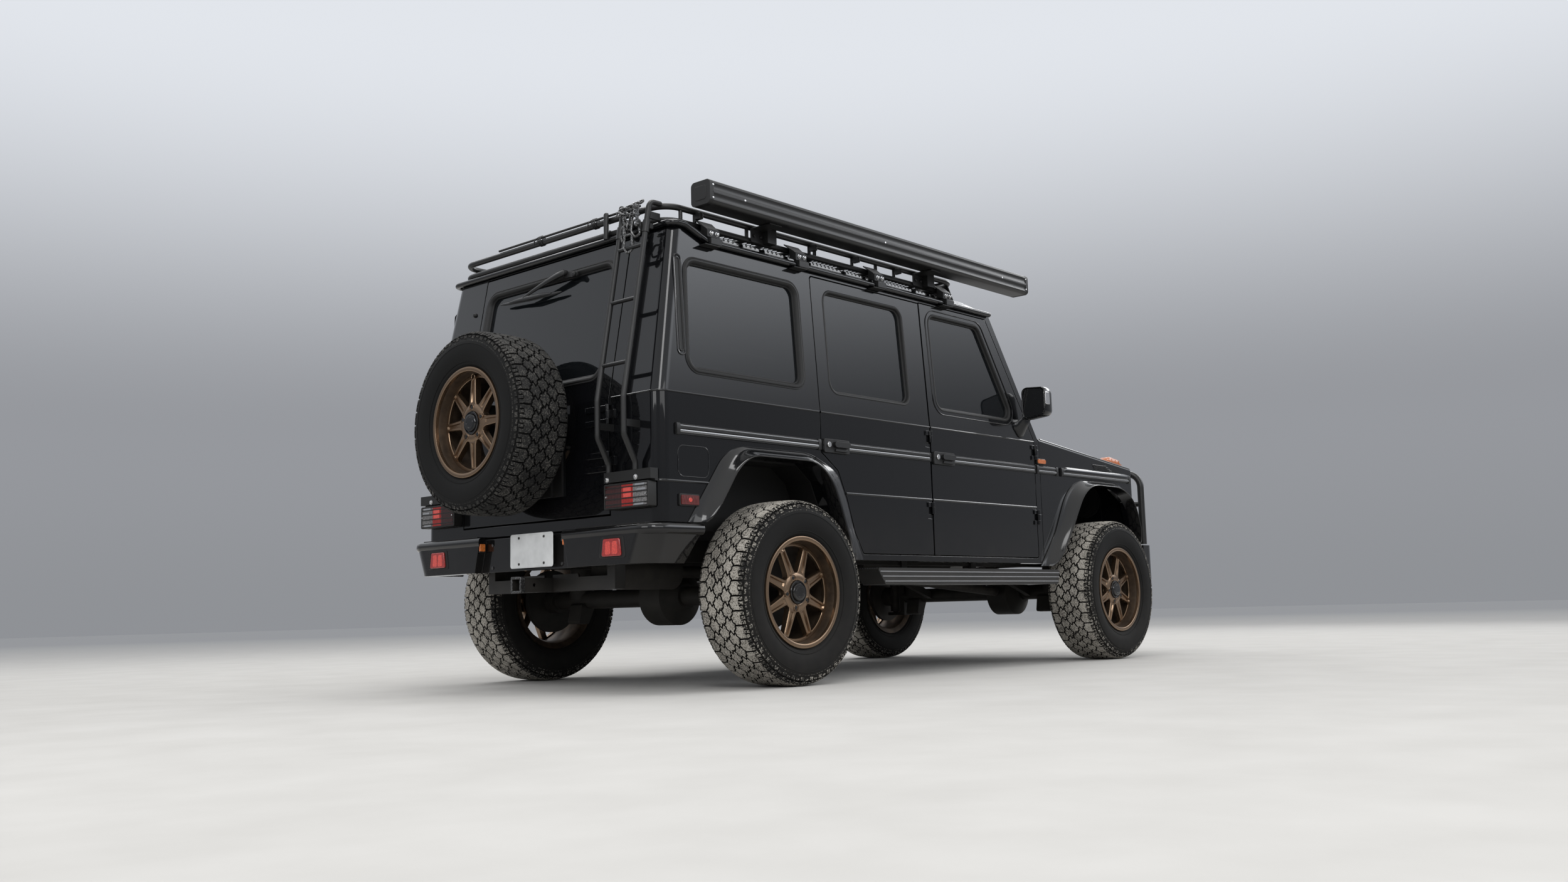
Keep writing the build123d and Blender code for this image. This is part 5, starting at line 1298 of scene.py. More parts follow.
# The flare's section: (share of the way from outer to inner outline, distance out of the wall)
flare_section = [(0.00, -0.001), (0.00, 0.004), (0.03, 0.006), (0.20, 0.011), (0.40, 0.021), (0.58, 0.036),
                 (0.72, 0.052), (0.82, 0.066), (0.88, 0.0745), (0.93, 0.077), (0.98, 0.0755), (1.00, 0.070),
                 (1.00, -0.001)]
flare_steps = 72
flare_bend = 0.50


def flare(mesh, side, wheel_station, outer, inner):
    at = side_wall(side)
    lines = []
    for outline in (outer, inner):
        corners = [(wheel_station + x, z) for x, z in outline]
        lines.append(along_outline(rounded_loop(corners, flare_bend, 8, closed=False), flare_steps))
    rings = []
    for k, (far, near) in enumerate(zip(*lines)):
        # The last steps at each end draw in, which rounds the flare's ends
        end = min(k, flare_steps - 1 - k)
        share = min(1.0, 0.55 + 0.45 * math.sqrt(min(1.0, end / 5.0)))
        rings.append([at(*far.lerp(near, t), h * share if h > 0 else h) for t, h in flare_section])
    skin_rings(mesh, rings)


for side, name in sides:
    for label, wheel_station, outer, inner in (("rear", 0.0, rear_flare_outer, rear_flare_inner),
                                               ("front", wheelbase, front_flare_outer, front_flare_inner)):
        mesh = shape()
        flare(mesh, side, wheel_station, outer, inner)
        made = piece(f"flare_{label}_{name}", mesh, paint_trim, "body", "black_trim", angle=40.0, merge=0.0)
        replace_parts(made, "fender_flares")

# %% Running boards
board_back, board_front = 0.600, 2.262
board_top, board_thickness = 0.520, 0.078
# Bright metal strips along the board's face are painted highlights, standing in for light caught by its
# edges
raised_highlight_line = [(-0.001, 0.0), (0.0, 0.003), (0.004, 0.003), (0.0052, 0.0)]
for side, name in sides:
    mesh = shape()
    for z in (0.4555, 0.4790, 0.5020):
        # The board's ends slant, so a lower line is shorter
        back = board_back + (board_top - z) / board_thickness * 0.060 + 0.004
        ahead = board_front - (board_top - z) / board_thickness * 0.020 - 0.004
        skin_rings(mesh, [[Vector((axle_x + station, side * (0.9300 + h), z + v)) for v, h in raised_highlight_line]
                          for station in (back, ahead)])
    piece(f"board_painted_highlights_{name}", mesh, bright, "body", "satin_black_metal", merge=0.0)
    mesh = shape()
    for k in range(9):
        y = side * (0.806 + 0.0145 * k)
        block(mesh, (axle_x + 0.615, y - 0.004, board_top - 0.0005),
              (axle_x + 2.250, y + 0.004, board_top + 0.0025))
    piece(f"board_treads_{name}", mesh, rubber, "body", "black_trim")

# %% Fender shoulders
# A gloss half-round shoulder takes the place of the rub strip over the front flare, and a fine roll
# runs along the fender's top edge.
shoulder = [(0.023 * math.sin(math.radians(a)), 0.0135 * math.cos(math.radians(a)))
            for a in range(-90, 91, 15)]
fender_start, fender_top = 2.244, 1.280
fender_rise = (fender_top - 1.172) / (3.330 - fender_start)


def fender_level(station):
    return fender_top - fender_rise * (station - fender_start)


for side, name in sides:
    at = side_wall(side)
    mesh = shape()
    rings = []
    for station, size in ((2.500, 0.30), (2.512, 0.80), (2.540, 1.0), (3.230, 1.0), (3.300, 0.80),
                          (3.318, 0.35)):
        rings.append([at(station, 1.1060 + up_by * size, height * size - 0.0005)
                      for up_by, height in shoulder])
    skin_rings(mesh, rings)
    piece(f"fender_shoulder_{name}", mesh, paint, "body", "body_paint", angle=60.0, merge=0.0)
    mesh = shape()
    tube(mesh, [(axle_x + station, side * 0.8365, fender_level(station) - 0.0068) for station in
                (2.262, 2.600, 2.950, 3.322)], 0.0062)
    piece(f"fender_edge_{name}", mesh, paint, "body", "body_paint", merge=0.0)
    # Louvres in the fender's side, near the nose
    mesh = shape()
    for k in range(4):
        z = 1.1395 + 0.0085 * k
        skin_rings(mesh, [[at(station, z + up_by, height) for up_by, height in
                           ((-0.0028, -0.001), (-0.0034, 0.0040), (-0.0020, 0.0052), (0.0026, -0.001))]
                          for station in (2.868 - 0.006 * k, 3.080 - 0.020 * k)])
    piece(f"fender_louvres_{name}", mesh, moulded, "body", "black_trim", merge=0.0)

# %% [markdown]
# ## The rear
#
# Rear lamps, number plate, bumper and wiper. The lamps are a dark box with three lenses side by side
# and four bars across them.

# %% Rear lamps
lamp_back = tail_x - 0.042
bracket_z = 0.893        # screws above each lamp


def rear_wall(depth):
    def at(y, z, h=0.0):
        return Vector((depth - h, y, z))
    return at


lamp_face = rear_wall(lamp_back)
for side, name in sides:
    mesh = shape()
    outer = rounded_box(side * 0.545, side * 0.822, 0.768, 0.873, 0.006, 3)
    rim = [(-0.0005, -0.0405), (-0.0005, 0.0030), (0.0015, 0.0050), (0.0060, 0.0050), (0.0075, 0.0030),
           (0.0075, -0.0100)]
    if side < 0:
        rim = [(-inset, h) for inset, h in rim]
    strip(mesh, outer, rim, lamp_face)
    for z in (0.786, 0.8085, 0.8325, 0.855):
        side_block(mesh, side, (lamp_back - 0.0065, lamp_back + 0.004), (0.550, 0.817),
                   (z - 0.0022, z + 0.0022))
    for y in (0.550, 0.817):
        block(mesh, (lamp_back - 0.004, side * y - 0.004, 0.770),
              (lamp_back + 0.038, side * y + 0.004, 0.871))
    piece(f"lamp_frame_{name}", mesh, moulded, "body", "black_trim", bevel=0.0010, merge=0.0)
    for label, start, end, lens, slot in (("smoked", 0.5535, 0.655, lens_smoked, "red_lens"),
                                          ("stop", 0.655, 0.726, lens_red, "red_lens"),
                                          ("clear", 0.726, 0.8135, lens_clear, "clear_lens")):
        mesh = shape()
        low, high = sorted((side * start, side * end))
        block(mesh, (lamp_back - 0.0028, low + 0.0006, 0.7745), (lamp_back + 0.030, high - 0.0006, 0.8665))
        # Fine upright ribs, as pressed in the glass
        ribs = int((end - start) / 0.0052)
        for k in range(ribs):
            y = low + 0.003 + (high - low - 0.006) * (k + 0.5) / ribs
            block(mesh, (lamp_back - 0.0042, y - 0.0014, 0.7755), (lamp_back - 0.0020, y + 0.0014, 0.8655))
        made = piece(f"lamp_{label}_{name}", mesh, lens, "body", slot, merge=0.0)
        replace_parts(made, "tail_lamps")
    # The lit bulb behind the stop lens, and the bright reflector behind the clear one
    mesh = shape()
    low, high = sorted((side * 0.668, side * 0.716))
    for z in (0.8130, 0.8370):
        block(mesh, (lamp_back - 0.0048, low, z), (lamp_back - 0.0020, high, z + 0.0165))
    made = piece(f"lamp_bulb_{name}", mesh, lens_lit, "body", "red_lens", merge=0.0)
    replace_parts(made, "tail_lamps")
    mesh = shape()
    for z, start, end in ((0.8575, 0.740, 0.800), (0.8370, 0.752, 0.806), (0.7760, 0.736, 0.794)):
        side_block(mesh, side, (lamp_back - 0.0048, lamp_back - 0.0020), (start, end), (z, z + 0.0080))
    made = piece(f"lamp_reflector_{name}", mesh, lamp_silver, "body", "clear_lens", merge=0.0)
    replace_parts(made, "tail_lamps")
    mesh = shape()
    for y in (0.560, 0.807):
        turn(mesh, [(0.004, 0.0), (0.004, 0.0042), (0.0085, 0.0036), (0.0098, 0.0)],
             (lamp_back, side * y, 0.8205), (-1, 0, 0), steps=14)
    for y in (0.562, 0.742):
        turn(mesh, [(-0.002, 0.0), (-0.002, 0.0085), (0.006, 0.0085), (0.0082, 0.0060), (0.0082, 0.0)],
             (lamp_back, side * y, bracket_z), (-1, 0, 0), steps=6)
        turn(mesh, [(-0.002, 0.0), (-0.002, 0.0120), (0.0016, 0.0120), (0.0022, 0.0)],
             (lamp_back, side * y, bracket_z), (-1, 0, 0), steps=20)
    piece(f"lamp_screws_{name}", mesh, bright, "body", "satin_black_metal")

# %% Number plate, left blank
plate_middle_y = (0.080 - 0.225) / 2
plate_middle_z = (0.545 + 0.697) / 2
plate_x = axle_x - 0.778
plate_face = rear_wall(plate_x)
mesh = shape()
half_w, half_h = 0.1525, 0.076
plate_loop = rounded_box(plate_middle_y - half_w, plate_middle_y + half_w, plate_middle_z - half_h,
                         plate_middle_z + half_h, 0.012, 5)
panel(mesh, plate_loop, plate_face, -0.0012, 0.0)
strip(mesh, plate_loop, [(0.002, -0.0005), (0.003, 0.0012), (0.006, 0.0012), (0.007, -0.0005)], plate_face)
piece("plate", mesh, plate_white, "body", "clear_lens", bevel=0.0004, merge=0.0)
mesh = shape()
for y in (-0.089, 0.089):
    for z in (-0.058, 0.058):
        turn(mesh, [(-0.004, 0.0), (-0.004, 0.0062), (0.0022, 0.0062), (0.0040, 0.0040), (0.0040, 0.0)],
             (plate_x, plate_middle_y + y, plate_middle_z + z), (-1, 0, 0), steps=6)
piece("plate_bolts", mesh, satin, "body", "satin_black_metal")

# %% [markdown]
# ### Rear bumper
#
# The bumper's top edge is rolled outwards, which is the bright line in the photograph. A red lamp sits
# in each half, small lamps light the plate from the sides of its recess, and the square receiver has a
# collar.

# %% Bumper roll
bumper_back = axle_x - 0.788
bumper_half = 0.8745
bumper_bend = 0.095
bumper_face = rear_wall(bumper_back)
roll = [(-0.0220, -0.020)] + [(0.0220 * math.sin(math.radians(a)),
                               0.0150 * math.cos(math.radians(a)) - 0.0095)
                              for a in range(-90, 91, 12)] + [(0.0220, -0.020)]
for side, name in sides:
    mesh = shape()
    route = [((bumper_back, 0.3010), (-1.0, 0.0)), ((bumper_back, bumper_half - bumper_bend), (-1.0, 0.0))]
    for step in range(1, 12):
        a = math.radians(90.0 * step / 12)
        out = (-math.cos(a), math.sin(a))
        route.append(((bumper_back + bumper_bend * (1 - math.cos(a)),
                       bumper_half - bumper_bend * (1 - math.sin(a))), out))
    route += [((bumper_back + bumper_bend, bumper_half), (0.0, 1.0)),
              ((axle_x - 0.4935, bumper_half), (0.0, 1.0))]
    skin_rings(mesh, [[Vector((x + out[0] * h, side * (y + out[1] * h), 0.6755 + up_by))
                       for up_by, h in roll] for (x, y), out in route])
    piece(f"bumper_roll_{name}", mesh, paint, "body", "body_paint", merge=0.0)

# %% Bumper lamps and bolts
for side, name in sides:
    middle = side * 0.628
    surround = tapered(middle, 0.081, 0.068, 0.564, 0.649, 0.008)
    mesh = shape()
    panel(mesh, surround, bumper_face, -0.0005, 0.0012)
    strip(mesh, surround, [(-0.003, -0.0005), (-0.002, 0.0022), (0.001, 0.0026), (0.003, 0.0014),
                           (0.003, -0.0005)], bumper_face)
    piece(f"bumper_lamp_surround_{name}", mesh, rubber, "body", "black_trim", merge=0.0)
    lens = tapered(middle, 0.062, 0.051, 0.570, 0.643, 0.009)
    mesh = shape()
    panel(mesh, lens, bumper_face, 0.0008, 0.0080)
    piece(f"bumper_lamp_{name}", mesh, lens_red, "body", "red_lens", bevel=0.003, segments=3)
    mesh = shape()
    for y in (-0.022, 0.020):
        band = tapered(middle + y, 0.018, 0.014, 0.578, 0.632, 0.008)
        panel(mesh, band, bumper_face, 0.0070, 0.0088)
    piece(f"bumper_lamp_glow_{name}", mesh, lens_lit, "body", "red_lens", bevel=0.0008)
    mesh = shape()
    side_block(mesh, side, (bumper_back + 0.004, bumper_back + 0.041), (0.306, 0.322), (0.628, 0.674))
    piece(f"plate_lamp_housing_{name}", mesh, moulded, "body", "black_trim", bevel=0.002)
    mesh = shape()
    side_block(mesh, side, (bumper_back + 0.002, bumper_back + 0.030), (0.296, 0.308), (0.634, 0.668))
    piece(f"plate_lamp_{name}", mesh, lens_amber, "body", "clear_lens", bevel=0.003)
mesh = shape()
for y in (-0.702, -0.512, 0.118, 0.512, 0.702):
    turn(mesh, [(-0.004, 0.0), (-0.004, 0.0085), (0.0015, 0.0085), (0.0030, 0.0062), (0.0072, 0.0058),
                (0.0078, 0.0)],
         (bumper_back + (0.054 if abs(y) < 0.3 else 0.012), y, 0.6885), (0, 0, 1), steps=12)
for z in (0.556, 0.660):
    for y in (-0.252, 0.252):
        turn(mesh, [(-0.002, 0.0), (-0.002, 0.0080), (0.0040, 0.0076), (0.0052, 0.0)],
             (bumper_back + 0.040, y, z), (-1, 0, 0), steps=6)
piece("bumper_bolts", mesh, gunmetal, "body", "satin_black_metal")

mesh = shape()
for side, _ in sides:
    side_block(mesh, side, (bumper_back + 0.030, axle_x - 0.55), (0.36, 0.80), (0.680, 0.704))
piece("bumper_cover", mesh, moulded, "body", "black_trim")

# %% Receiver collar
receiver_face = rear_wall(axle_x - 0.805)
mesh = shape()
collar = rounded_box(-0.0365, 0.0365, 0.4335, 0.5065, 0.006, 4)
strip(mesh, collar, [(0.0, -0.018), (0.0, 0.0030), (0.0015, 0.0045), (0.0085, 0.0045), (0.0105, 0.0030),
                     (0.0105, -0.018)], receiver_face)
piece("receiver_collar", mesh, gunmetal, "body", "satin_black_metal", merge=0.0)

# %% [markdown]
# ### Rear wiper
#
# The motor's cover hangs under the roof with two dark caps. A flat arm reaches down to the blade, whose
# frame holds the rubber on the glass. A washer nozzle stands beside it.

# %% Wiper
def bar(mesh, route, sides=12):
    """A bar on the tail. Each place is (y, z, height, half width, half thickness)."""
    rings = []
    for i, (y, z, h, wide, thick) in enumerate(route):
        ahead = route[min(i + 1, len(route) - 1)]
        behind = route[max(i - 1, 0)]
        along = Vector((ahead[0] - behind[0], ahead[1] - behind[1])).normalized()
        rings.append([tail_wall(y - along.y * wide * math.cos(a), z + along.x * wide * math.cos(a),
                                h + thick * math.sin(a))
                      for a in (2 * math.pi * k / sides for k in range(sides))])
    skin_rings(mesh, rings)


mesh = shape()
cover = rounded_loop([(-0.196, 1.868), (-0.092, 1.882), (-0.088, 1.914), (-0.192, 1.897)], 0.014, 5)
panel(mesh, cover, tail_wall, -0.002, 0.014)
for y, z in ((-0.179, 1.881), (-0.111, 1.901)):
    turn(mesh, [(0.010, 0.0), (0.010, 0.0125), (0.024, 0.0120), (0.0275, 0.0085), (0.0280, 0.0)],
         tail_wall(y, z), (-1, 0, 0), steps=20)
piece("wiper_motor", mesh, moulded, "rear_door", "black_trim", bevel=0.002, merge=0.0)
mesh = shape()
bar(mesh, [(-0.120, 1.904, 0.026, 0.006, 0.006), (-0.108, 1.901, 0.027, 0.0165, 0.012),
           (-0.070, 1.894, 0.030, 0.0165, 0.012),
           (0.000, 1.879, 0.030, 0.0135, 0.010), (0.090, 1.857, 0.027, 0.0105, 0.008),
           (0.160, 1.839, 0.024, 0.0080, 0.006),
           (0.207, 1.828, 0.020, 0.0060, 0.005)])
bar(mesh, [(0.377, 1.8325, 0.009, 0.0035, 0.003), (0.330, 1.8290, 0.010, 0.0080, 0.005),
           (0.144, 1.8180, 0.010, 0.0085, 0.006),
           (-0.040, 1.8155, 0.010, 0.0080, 0.005), (-0.090, 1.8160, 0.009, 0.0035, 0.003)])
bar(mesh, [(0.300, 1.8300, 0.013, 0.0050, 0.004), (0.230, 1.8280, 0.021, 0.0090, 0.005),
           (0.144, 1.8240, 0.025, 0.0120, 0.006),
           (0.050, 1.8220, 0.021, 0.0090, 0.005), (-0.020, 1.8190, 0.013, 0.0050, 0.004)])
turn(mesh, [(0.010, 0.0), (0.010, 0.0075), (0.028, 0.0070), (0.030, 0.0)], tail_wall(0.176, 1.8275),
     (-1, 0, 0), steps=12)
piece("wiper_arm", mesh, satin, "rear_door", "black_trim", merge=0.0)
mesh = shape()
turn(mesh, [(-0.002, 0.0), (-0.002, 0.0120), (0.004, 0.0115), (0.0105, 0.0070), (0.0120, 0.0)],
     tail_wall(0.594, 1.817), (-1, 0, 0), steps=18)
piece("washer_nozzle", mesh, rubber, "body", "black_trim")

# %% [markdown]
# ## Roof rack and awning
#
# The rack stands on eight clamps. Each grips the gutter, carries two bright bolts and leans a
# plate inwards to the rack's tubes. All of it is dark, so the bolts and the bent plates are what shows.

# %% Gutter clamps
clamp_stations = (-0.350, 0.236, 0.835, 1.428)
clamp_outline = [(0.7900, 1.9310), (0.8300, 1.9310), (0.8345, 1.9370), (0.8345, 1.9640), (0.8290, 1.9700),
                 (0.8180, 1.9720), (0.7900, 1.9720)]
lip_outline = [(0.7990, 1.9240), (0.8375, 1.9270), (0.8375, 1.9320), (0.7990, 1.9300)]
cheek_outline = [(0.8090, 1.9700), (0.8180, 1.9700), (0.8180, 2.0060), (0.8140, 2.0110), (0.8090, 2.0110)]
leaf = [(-0.034, 0.8130, 2.0020), (0.040, 0.8130, 2.0020), (0.050, 0.7560, 2.0500), (-0.056, 0.7560, 2.0500)]


def along_roof(mesh, outline, side, start, end):
    """An outline in (across, up) carried along the vehicle between two stations."""
    skin_rings(mesh, [[Vector((axle_x + x, side * y, z)) for y, z in outline] for x in (start, end)])


for side, name in sides:
    mesh = shape()
    bolts = shape()
    for station in clamp_stations:
        along_roof(mesh, clamp_outline, side, station - 0.030, station + 0.038)
        along_roof(mesh, lip_outline, side, station - 0.070, station + 0.020)
        along_roof(mesh, cheek_outline, side, station - 0.034, station + 0.040)
        for x in (-0.034, 0.034):
            along_roof(mesh, [(0.775, 1.985), (0.818, 1.970), (0.818, 2.006), (0.775, 2.036)], side,
                       station + x - 0.003, station + x + 0.003)
        skin_rings(mesh, [[Vector((axle_x + station + x, side * (y + lift * 0.6), z + lift))
                           for x, y, z in leaf] for lift in (0.0, 0.005)])
        for x in (-0.014, 0.021):
            place = (axle_x + station + x, side * 0.818, 1.990)
            turn(bolts, [(-0.002, 0.0), (-0.002, 0.0105), (0.0015, 0.0105), (0.0022, 0.0090), (0.0022, 0.0)],
                 place, (0, side, 0), steps=20)
            turn(bolts, [(0.001, 0.0), (0.001, 0.0078), (0.0075, 0.0074), (0.0098, 0.0045), (0.0102, 0.0)],
                 place, (0, side, 0), steps=14)
    piece(f"rack_clamps_{name}", mesh, satin, "body", "satin_black_metal", bevel=0.0022, merge=0.0)
    piece(f"rack_clamp_bolts_{name}", bolts, bright, "body", "satin_black_metal", merge=0.0)
print("clamps:", 2 * len(clamp_stations))

# %% [markdown]
# ### Rack floor
#
# The floor is expanded metal: a sheet that is slit and stretched into diamonds. One zigzag strand and
# its mirror image make a row of diamonds across the rack, and the repeat tree lays the rows one behind
# the other.

# %% Diamond mesh
strand_width = 0.0022
strand_height = 0.0026
cell_across = 0.0480
cell_along = 0.0300
floor_half = 0.712
floor_start, floor_end = -0.545, 1.560


def zigzag(mesh, start, step):
    """One strand that steps to and fro across the rack."""
    count = int(2 * floor_half / (cell_across / 2))
    path = [(start + (step if k % 2 else 0.0), -floor_half + k * cell_across / 2) for k in range(count + 1)]
    section = [(-strand_width, 0), (strand_width, 0), (strand_width, strand_height),
               (-strand_width, strand_height)]
    skin_rings(mesh, [[Vector((axle_x + x + dx, y, 2.0440 + dz)) for dx, dz in section] for x, y in path])


mesh = shape()
zigzag(mesh, floor_start, cell_along / 2)
zigzag(mesh, floor_start + cell_along, -cell_along / 2)
row_count = int((floor_end - floor_start) / cell_along)
mesh_floor = repeated(mesh, row_count, satin, offset=(cell_along, 0, 0))
dress("rack_mesh", mesh_floor, satin, "body", "satin_black_metal")
print("rack mesh:", len(mesh_floor.polygons), "faces")

# %% Rack bars and posts
post_stations = (-0.394, 0.380, 0.708, 1.053)
mesh = shape()
for station in (-0.470, -0.190, 0.095, 0.400, 0.700, 0.990, 1.290):
    block(mesh, (axle_x + station - 0.019, -0.735, 2.0385), (axle_x + station + 0.019, 0.735, 2.0432))
for y in (-0.48, 0.0, 0.48):
    block(mesh, (axle_x + floor_start - 0.02, y - 0.012, 2.0340),
          (axle_x + floor_end + 0.02, y + 0.012, 2.0384))
for side, _ in sides:
    for station in post_stations:
        tube(mesh, [(axle_x + station, side * 0.745, 2.034), (axle_x + station, side * 0.745, 2.095)],
             0.0085)
# Two uprights at the tail with round tops, the second of them further back
for y in (-0.391, -0.515):
    turn(mesh, [(-0.060, 0.0), (-0.060, 0.0125), (0.052, 0.0125), (0.058, 0.0115), (0.0625, 0.0080),
                (0.0645, 0.0)],
         (axle_x - 0.6180 if y < -0.5 else axle_x - 0.6015, y, 2.062), (0, 0, 1), steps=20)
    block(mesh, (axle_x - 0.606, y - 0.010, 2.020), (axle_x - 0.570, y + 0.010, 2.046))
piece("rack_bars", mesh, satin, "body", "satin_black_metal", bevel=0.0012, merge=0.0)

# %% Pole tied on the rack
mesh = shape()
tube(mesh, [(axle_x - 0.585, 0.430, 2.1155), (axle_x - 0.585, -0.600, 2.1155)], 0.0055, sides=10)
for y in (0.105, -0.290, -0.560):
    for turn_y in (-0.010, 0.0, 0.010):
        loop = [(axle_x - 0.5765 + 0.0175 * math.cos(a), y + turn_y + 0.004 * math.sin(a),
                 2.1020 + 0.0235 * math.sin(a))
                for a in (2 * math.pi * k / 18 for k in range(18))]
        tube(mesh, loop, 0.0028, sides=6, closed=True)
    tube(mesh, [(axle_x - 0.592, y + 0.012, 2.118), (axle_x - 0.598, y + 0.030, 2.105),
                (axle_x - 0.597, y + 0.036, 2.082)],
         0.0026, sides=6)
piece("tied_pole", mesh, rubber, "body", "black_trim", merge=0.0)

# %% Ladder hooks, shackles and clips
mesh = shape()
ladder_rails = (-0.557, -0.724)
for y in ladder_rails:
    hook = rounded_path([(axle_x - 0.6560, y, 2.030), (axle_x - 0.6430, y, 2.0965),
                         (axle_x - 0.5800, y, 2.0965)], 0.034, 6)
    tube(mesh, hook, 0.0120, sides=16)
    # Collar below the hook
    tube(mesh, [(axle_x - 0.6700, y, 1.953), (axle_x - 0.6600, y, 2.008)], 0.0165, sides=16)
    block(mesh, (axle_x - 0.668, y - 0.006, 1.975), (axle_x - 0.628, y + 0.006, 1.998))
piece("ladder_hooks", mesh, satin, "body", "satin_black_metal", bevel=0.001, merge=0.0)


def clip(mesh, place, lean, height, width, radius):
    """A carabiner: a rounded loop of rod with a thicker gate."""
    outline = rounded_loop([(-width / 2, 0.0), (width * 0.32, -height * 0.06), (width / 2, -height * 0.62),
                            (width * 0.12, -height), (-width / 2, -height * 0.82)], width * 0.24, 4)
    turned = Matrix.Rotation(lean, 4, "Z")
    tube(mesh, [Vector(place) + turned @ Vector((0.0, u, v)) for u, v in outline], radius, sides=8,
         closed=True)
    gate = [Vector(place) + turned @ Vector((0.0, -width / 2, v)) for v in (-height * 0.16, -height * 0.66)]
    tube(mesh, gate, radius * 1.5, sides=10)


def links(mesh, start, step, count, radius=0.0042):
    for k in range(count):
        middle = Vector(start) + Vector(step) * k
        long = Vector(step).normalized()
        wide = Vector((1, 0, 0)) if k % 2 else Vector((0, 1, 0))
        wide = (wide - long * wide.dot(long)).normalized()
        ring = [middle + long * math.sin(a) * 0.0150 + wide * math.cos(a) * 0.0085
                for a in (2 * math.pi * i / 14 for i in range(14))]
        tube(mesh, ring, radius, sides=7, closed=True)


mesh = shape()
hook_x = axle_x - 0.6700
clip(mesh, (hook_x - 0.014, -0.628, 1.962), 0.25, 0.086, 0.046, 0.0058)
clip(mesh, (hook_x - 0.010, -0.590, 2.002), -0.4, 0.070, 0.038, 0.0050)
clip(mesh, (hook_x - 0.012, -0.675, 2.018), 0.5, 0.080, 0.040, 0.0055)
links(mesh, (hook_x - 0.012, -0.604, 2.040), (0.0, -0.004, -0.0215), 4)
links(mesh, (hook_x - 0.010, -0.655, 2.056), (0.0, 0.008, -0.0205), 4)
links(mesh, (hook_x - 0.016, -0.575, 2.060), (0.001, -0.021, -0.004), 6)
links(mesh, (hook_x - 0.004, -0.575, 2.083), (0.001, -0.0205, 0.002), 7)
# A strap plate with an eye at each end
strap = rounded_loop([(-0.0095, 0.0), (0.0095, 0.0), (0.0080, -0.088), (-0.0080, -0.088)], 0.0075, 4)
panel(mesh, strap, lambda u, v, h=0.0: Vector((hook_x - 0.020 - h, -0.697 + u, 2.075 + v)), 0.0, 0.004)
for v in (0.0, -0.088):
    turn(mesh, [(-0.006, 0.0), (-0.006, 0.010), (0.006, 0.010), (0.009, 0.006), (0.009, 0.0)],
         (hook_x - 0.022, -0.697, 2.071 + v * 0.92), (-1, 0, 0), steps=14)
piece("hooks_and_clips", mesh, gunmetal, "body", "satin_black_metal", merge=0.0)

# %% [markdown]
# ### Awning case
#
# The case is a long extrusion with two hollow flutes. The CAD solid already has them. What it lacks
# is the moulded cap at each end, with a screw at its corner, the small bolts in the flute's ridge, and
# the angle brackets that hang it from the rack.

# %% Awning extrusion
flute_heights = (2.117, 2.161)
flute_reach, flute_radius = 0.036, 0.040


def case_outline():
    """The case's outline in (across, up): round corners and two hollow flutes on each side."""
    loop = []
    levels = [awning_low + 0.110 * k / 66 for k in range(67)]
    for turned in (1, -1):
        side_points = []
        for z in levels:
            edge = min(z - awning_low, awning_top - z)
            corner = 0.022 - math.sqrt(max(0.0, 0.022 ** 2 - max(0.0, 0.022 - edge) ** 2))
            across = awning_half - corner
            for middle in flute_heights:
                rest = flute_radius ** 2 - (z - middle) ** 2
                across = min(across, awning_half + flute_reach - math.sqrt(rest) if rest > 0 else across)
            side_points.append(Vector((turned * across, z)))
        loop += side_points if turned > 0 else list(reversed(side_points))
    return loop


# %% Awning caps, bolts and brackets
awning_start, awning_end = -0.470, 2.090
awning_middle_y, awning_half = -0.860, 0.059
awning_low, awning_top = 2.085, 2.195
cap_loop = rounded_box(-awning_half, awning_half, awning_low, awning_top, 0.021, 10)
mesh = shape()
for end, inward in ((awning_start, 1), (awning_end, -1)):
    def at(u, v, h=0.0, end=end, inward=inward):
        return Vector((axle_x + end + inward * h, awning_middle_y + u, v))
    panel(mesh, rounded_box(-0.034, 0.034, 2.108, 2.172, 0.012, 4), at, -0.0006, 0.0030)
    panel(mesh, cap_loop, at, 0.0010, 0.0262)
piece("awning_caps", mesh, moulded, "body", "awning_aluminium", bevel=0.0025, merge=0.0)
mesh = shape()
skin_rings(mesh, [[Vector((axle_x + station, awning_middle_y + u, v)) for u, v in case_outline()]
                  for station in (awning_start + 0.020, awning_end - 0.020)])
for station in (0.050, 1.300):
    block(mesh, (axle_x + station - 0.030, awning_middle_y + awning_half - 0.004, 2.022),
          (axle_x + station + 0.030, -0.7590, 2.150))
made = piece("awning_extrusion", mesh, satin, "body", "awning_aluminium", angle=24.0, merge=0.0)
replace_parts(made, "awning_case")
mesh = shape()
for station, z in ((-0.4480, 2.170), (-0.4480, 2.112), (-0.248, 2.139), (0.764, 2.139), (1.823, 2.139),
                   (2.068, 2.170), (2.068, 2.112)):
    turn(mesh, [(-0.004, 0.0), (-0.004, 0.0052), (0.0005, 0.0052), (0.0012, 0.0030), (0.0012, 0.0)],
         (axle_x + station, awning_middle_y - awning_half + (0.0 if z == 2.139 else 0.0008), z), (0, -1, 0),
         steps=14)
piece("awning_bolts", mesh, bright, "body", "satin_black_metal", merge=0.0)
mesh = shape()
for station in (-0.015, 1.230):
    x = axle_x + station
    block(mesh, (x - 0.040, awning_middle_y - 0.030, 2.0785), (x + 0.040, -0.765, 2.0845))
    block(mesh, (x - 0.040, -0.771, 2.020), (x + 0.040, -0.7630, 2.0845))
    for dx in (-0.022, 0.022):
        turn(mesh, [(-0.003, 0.0), (-0.003, 0.0085), (0.006, 0.0085), (0.008, 0.006), (0.008, 0.0)],
             (x + dx, -0.771, 2.050), (0, -1, 0), steps=6)
